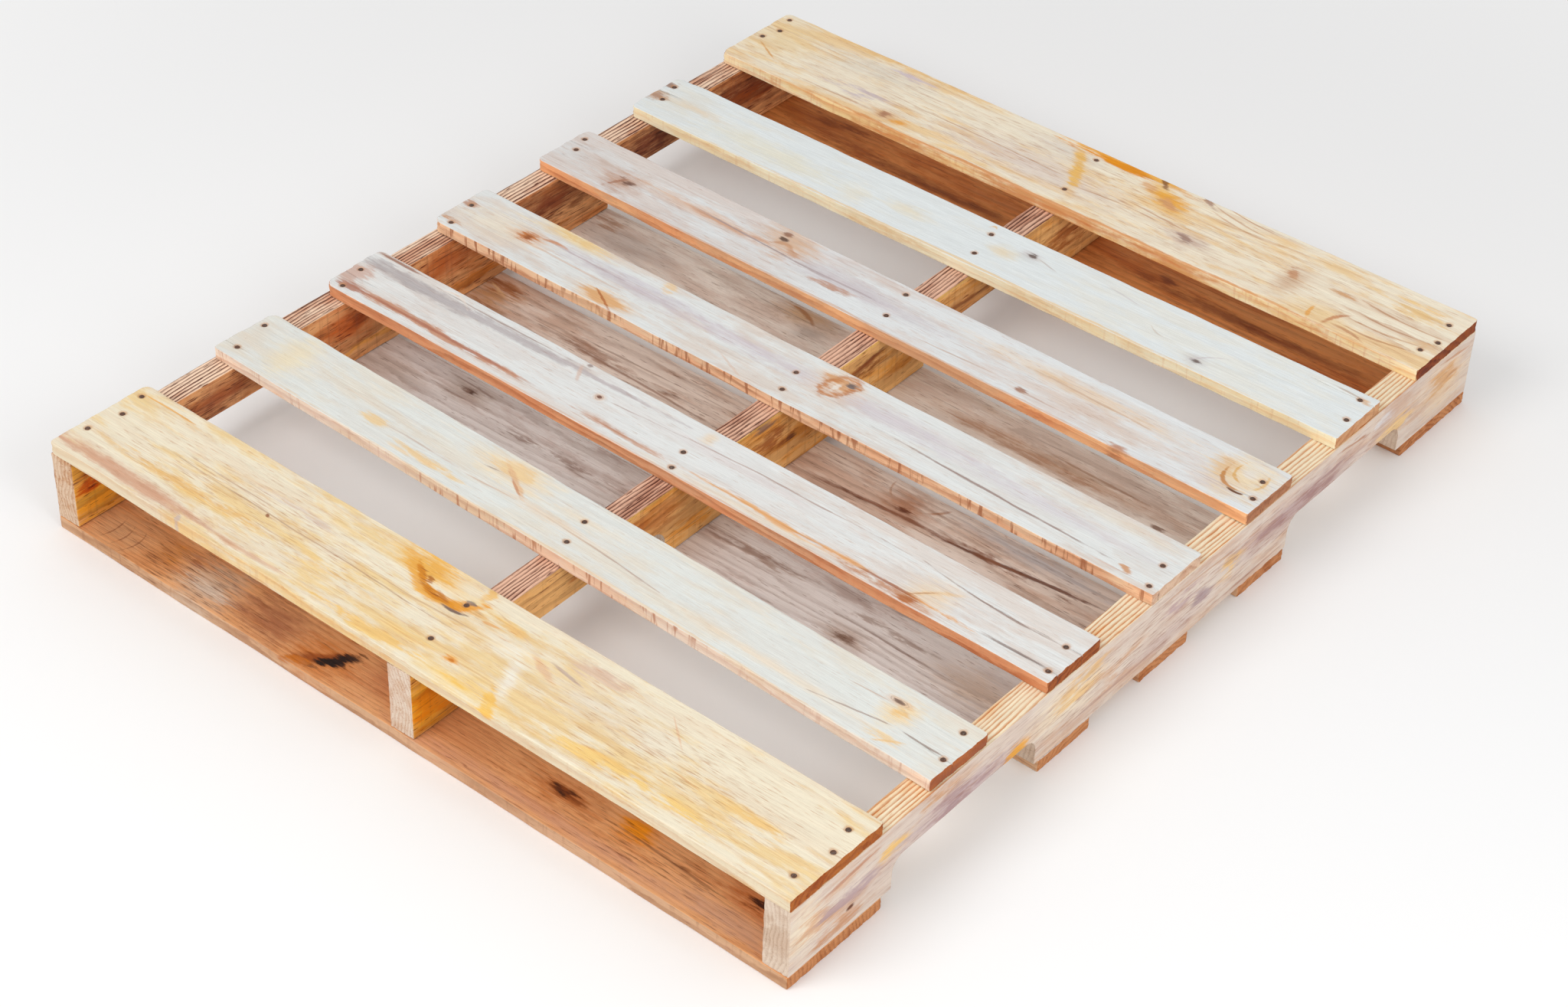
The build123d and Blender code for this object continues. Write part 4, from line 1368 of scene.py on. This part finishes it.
steel = nail_material()
for number, node in enumerate(TOP + BOTTOM):
    face = 1 if node in TOP else -1
    wood, place = build_board(node, "nails_" + node, face, WEARS.get(node, PLAIN_WEAR), 100 + 10 * number)
    finish_piece(wood, node, wood_material(node, place, LOOKS[node], number + 1))
    nails = build_nails("nails_" + node, face, 500 + number)
    finish_piece(nails, "nails_" + node, steel)

for number, node in enumerate(STRINGERS):
    wood, place = build_stringer(node, PLAIN_WEAR, 300 + 10 * number)
    finish_piece(wood, node, wood_material(node, place, LOOKS[node], 20 + number))


# ================================================================ studio, in metres
def make_floor():
    """A wide, pale, plain floor that grows whiter away from the pallet."""
    half = 12.0
    mesh = bpy.data.meshes.new("floor")
    corners = [(-half, -half, 0), (half, -half, 0), (half, half, 0), (-half, half, 0)]
    mesh.from_pydata(corners, [], [(0, 1, 2, 3)])
    material = bpy.data.materials.new("floor")
    material.use_nodes = True
    shader = material.node_tree.nodes["Principled BSDF"]
    shader.inputs["Base Color"].default_value = (0.94, 0.94, 0.94, 1)
    shader.inputs["Roughness"].default_value = 0.9
    shader.inputs["Emission Color"].default_value = (1, 1, 1, 1)
    g = Graph(material.node_tree)
    distance = g.vector("LENGTH", g.add("ShaderNodeTexCoord").outputs["Object"])
    glow_start, glow_end, glow = 0.9, 3.2, 0.3
    whiter = g.smooth(distance, glow_start, glow_end, 0.0, glow)
    material.node_tree.links.new(whiter, shader.inputs["Emission Strength"])
    mesh.materials.append(material)
    add_object("floor", mesh)


def make_light(name, location, size, power, colour):
    """A round soft light that shines on the middle of the pallet."""
    lamp = bpy.data.lights.new(name, "AREA")
    lamp.shape = "DISK"
    lamp.size = size
    lamp.energy = power
    lamp.color = colour
    holder = add_object(name, lamp)
    holder.location = location
    holder.rotation_euler = (-Vector(location)).to_track_quat("-Z", "Y").to_euler()


def make_world(strength, seen_strength):
    """Even white light all round, which the camera sees as plain white."""
    world = bpy.data.worlds.new("studio")
    world.use_nodes = True
    background = world.node_tree.nodes["Background"]
    background.inputs["Color"].default_value = (1.0, 1.0, 1.0, 1)
    g = Graph(world.node_tree)
    seen = g.add("ShaderNodeLightPath").outputs["Is Camera Ray"]
    shown = g.math("MULTIPLY_ADD", seen, seen_strength - strength, strength)
    world.node_tree.links.new(shown, background.inputs["Strength"])
    bpy.context.scene.world = world


def make_camera():
    """A long lens from the front right, looking down on the deck, tipped slightly clockwise."""
    azimuth, elevation, roll = radians(38.434), radians(38.513), radians(2.1746)
    distance = 3.3935
    target = Vector((0.0923, -0.1180, 0.060))
    back = Vector((sin(azimuth) * cos(elevation), -cos(azimuth) * cos(elevation), sin(elevation)))
    level_right = Vector((cos(azimuth), sin(azimuth), 0))
    level_up = back.cross(level_right)
    right = level_right * cos(roll) + level_up * sin(roll)
    up = level_up * cos(roll) - level_right * sin(roll)
    optics = bpy.data.cameras.new("camera")
    optics.sensor_width = 36.0      # in millimetres, like the focal length
    optics.lens = 73.14
    camera = add_object("camera", optics)
    turn = Matrix((right, up, back)).transposed().to_4x4()
    camera.matrix_world = Matrix.Translation(target + back * distance) @ turn
    bpy.context.scene.camera = camera


make_floor()
make_world(strength=0.64, seen_strength=0.97)
make_light("key", location=(-0.6, -2.8, 2.9), size=2.2, power=55, colour=(1.0, 0.99, 0.98))
make_light("fill", location=(2.7, -0.8, 2.0), size=1.8, power=27, colour=(1.0, 1.0, 1.0))
make_camera()
bpy.context.scene.view_settings.view_transform = "Standard"
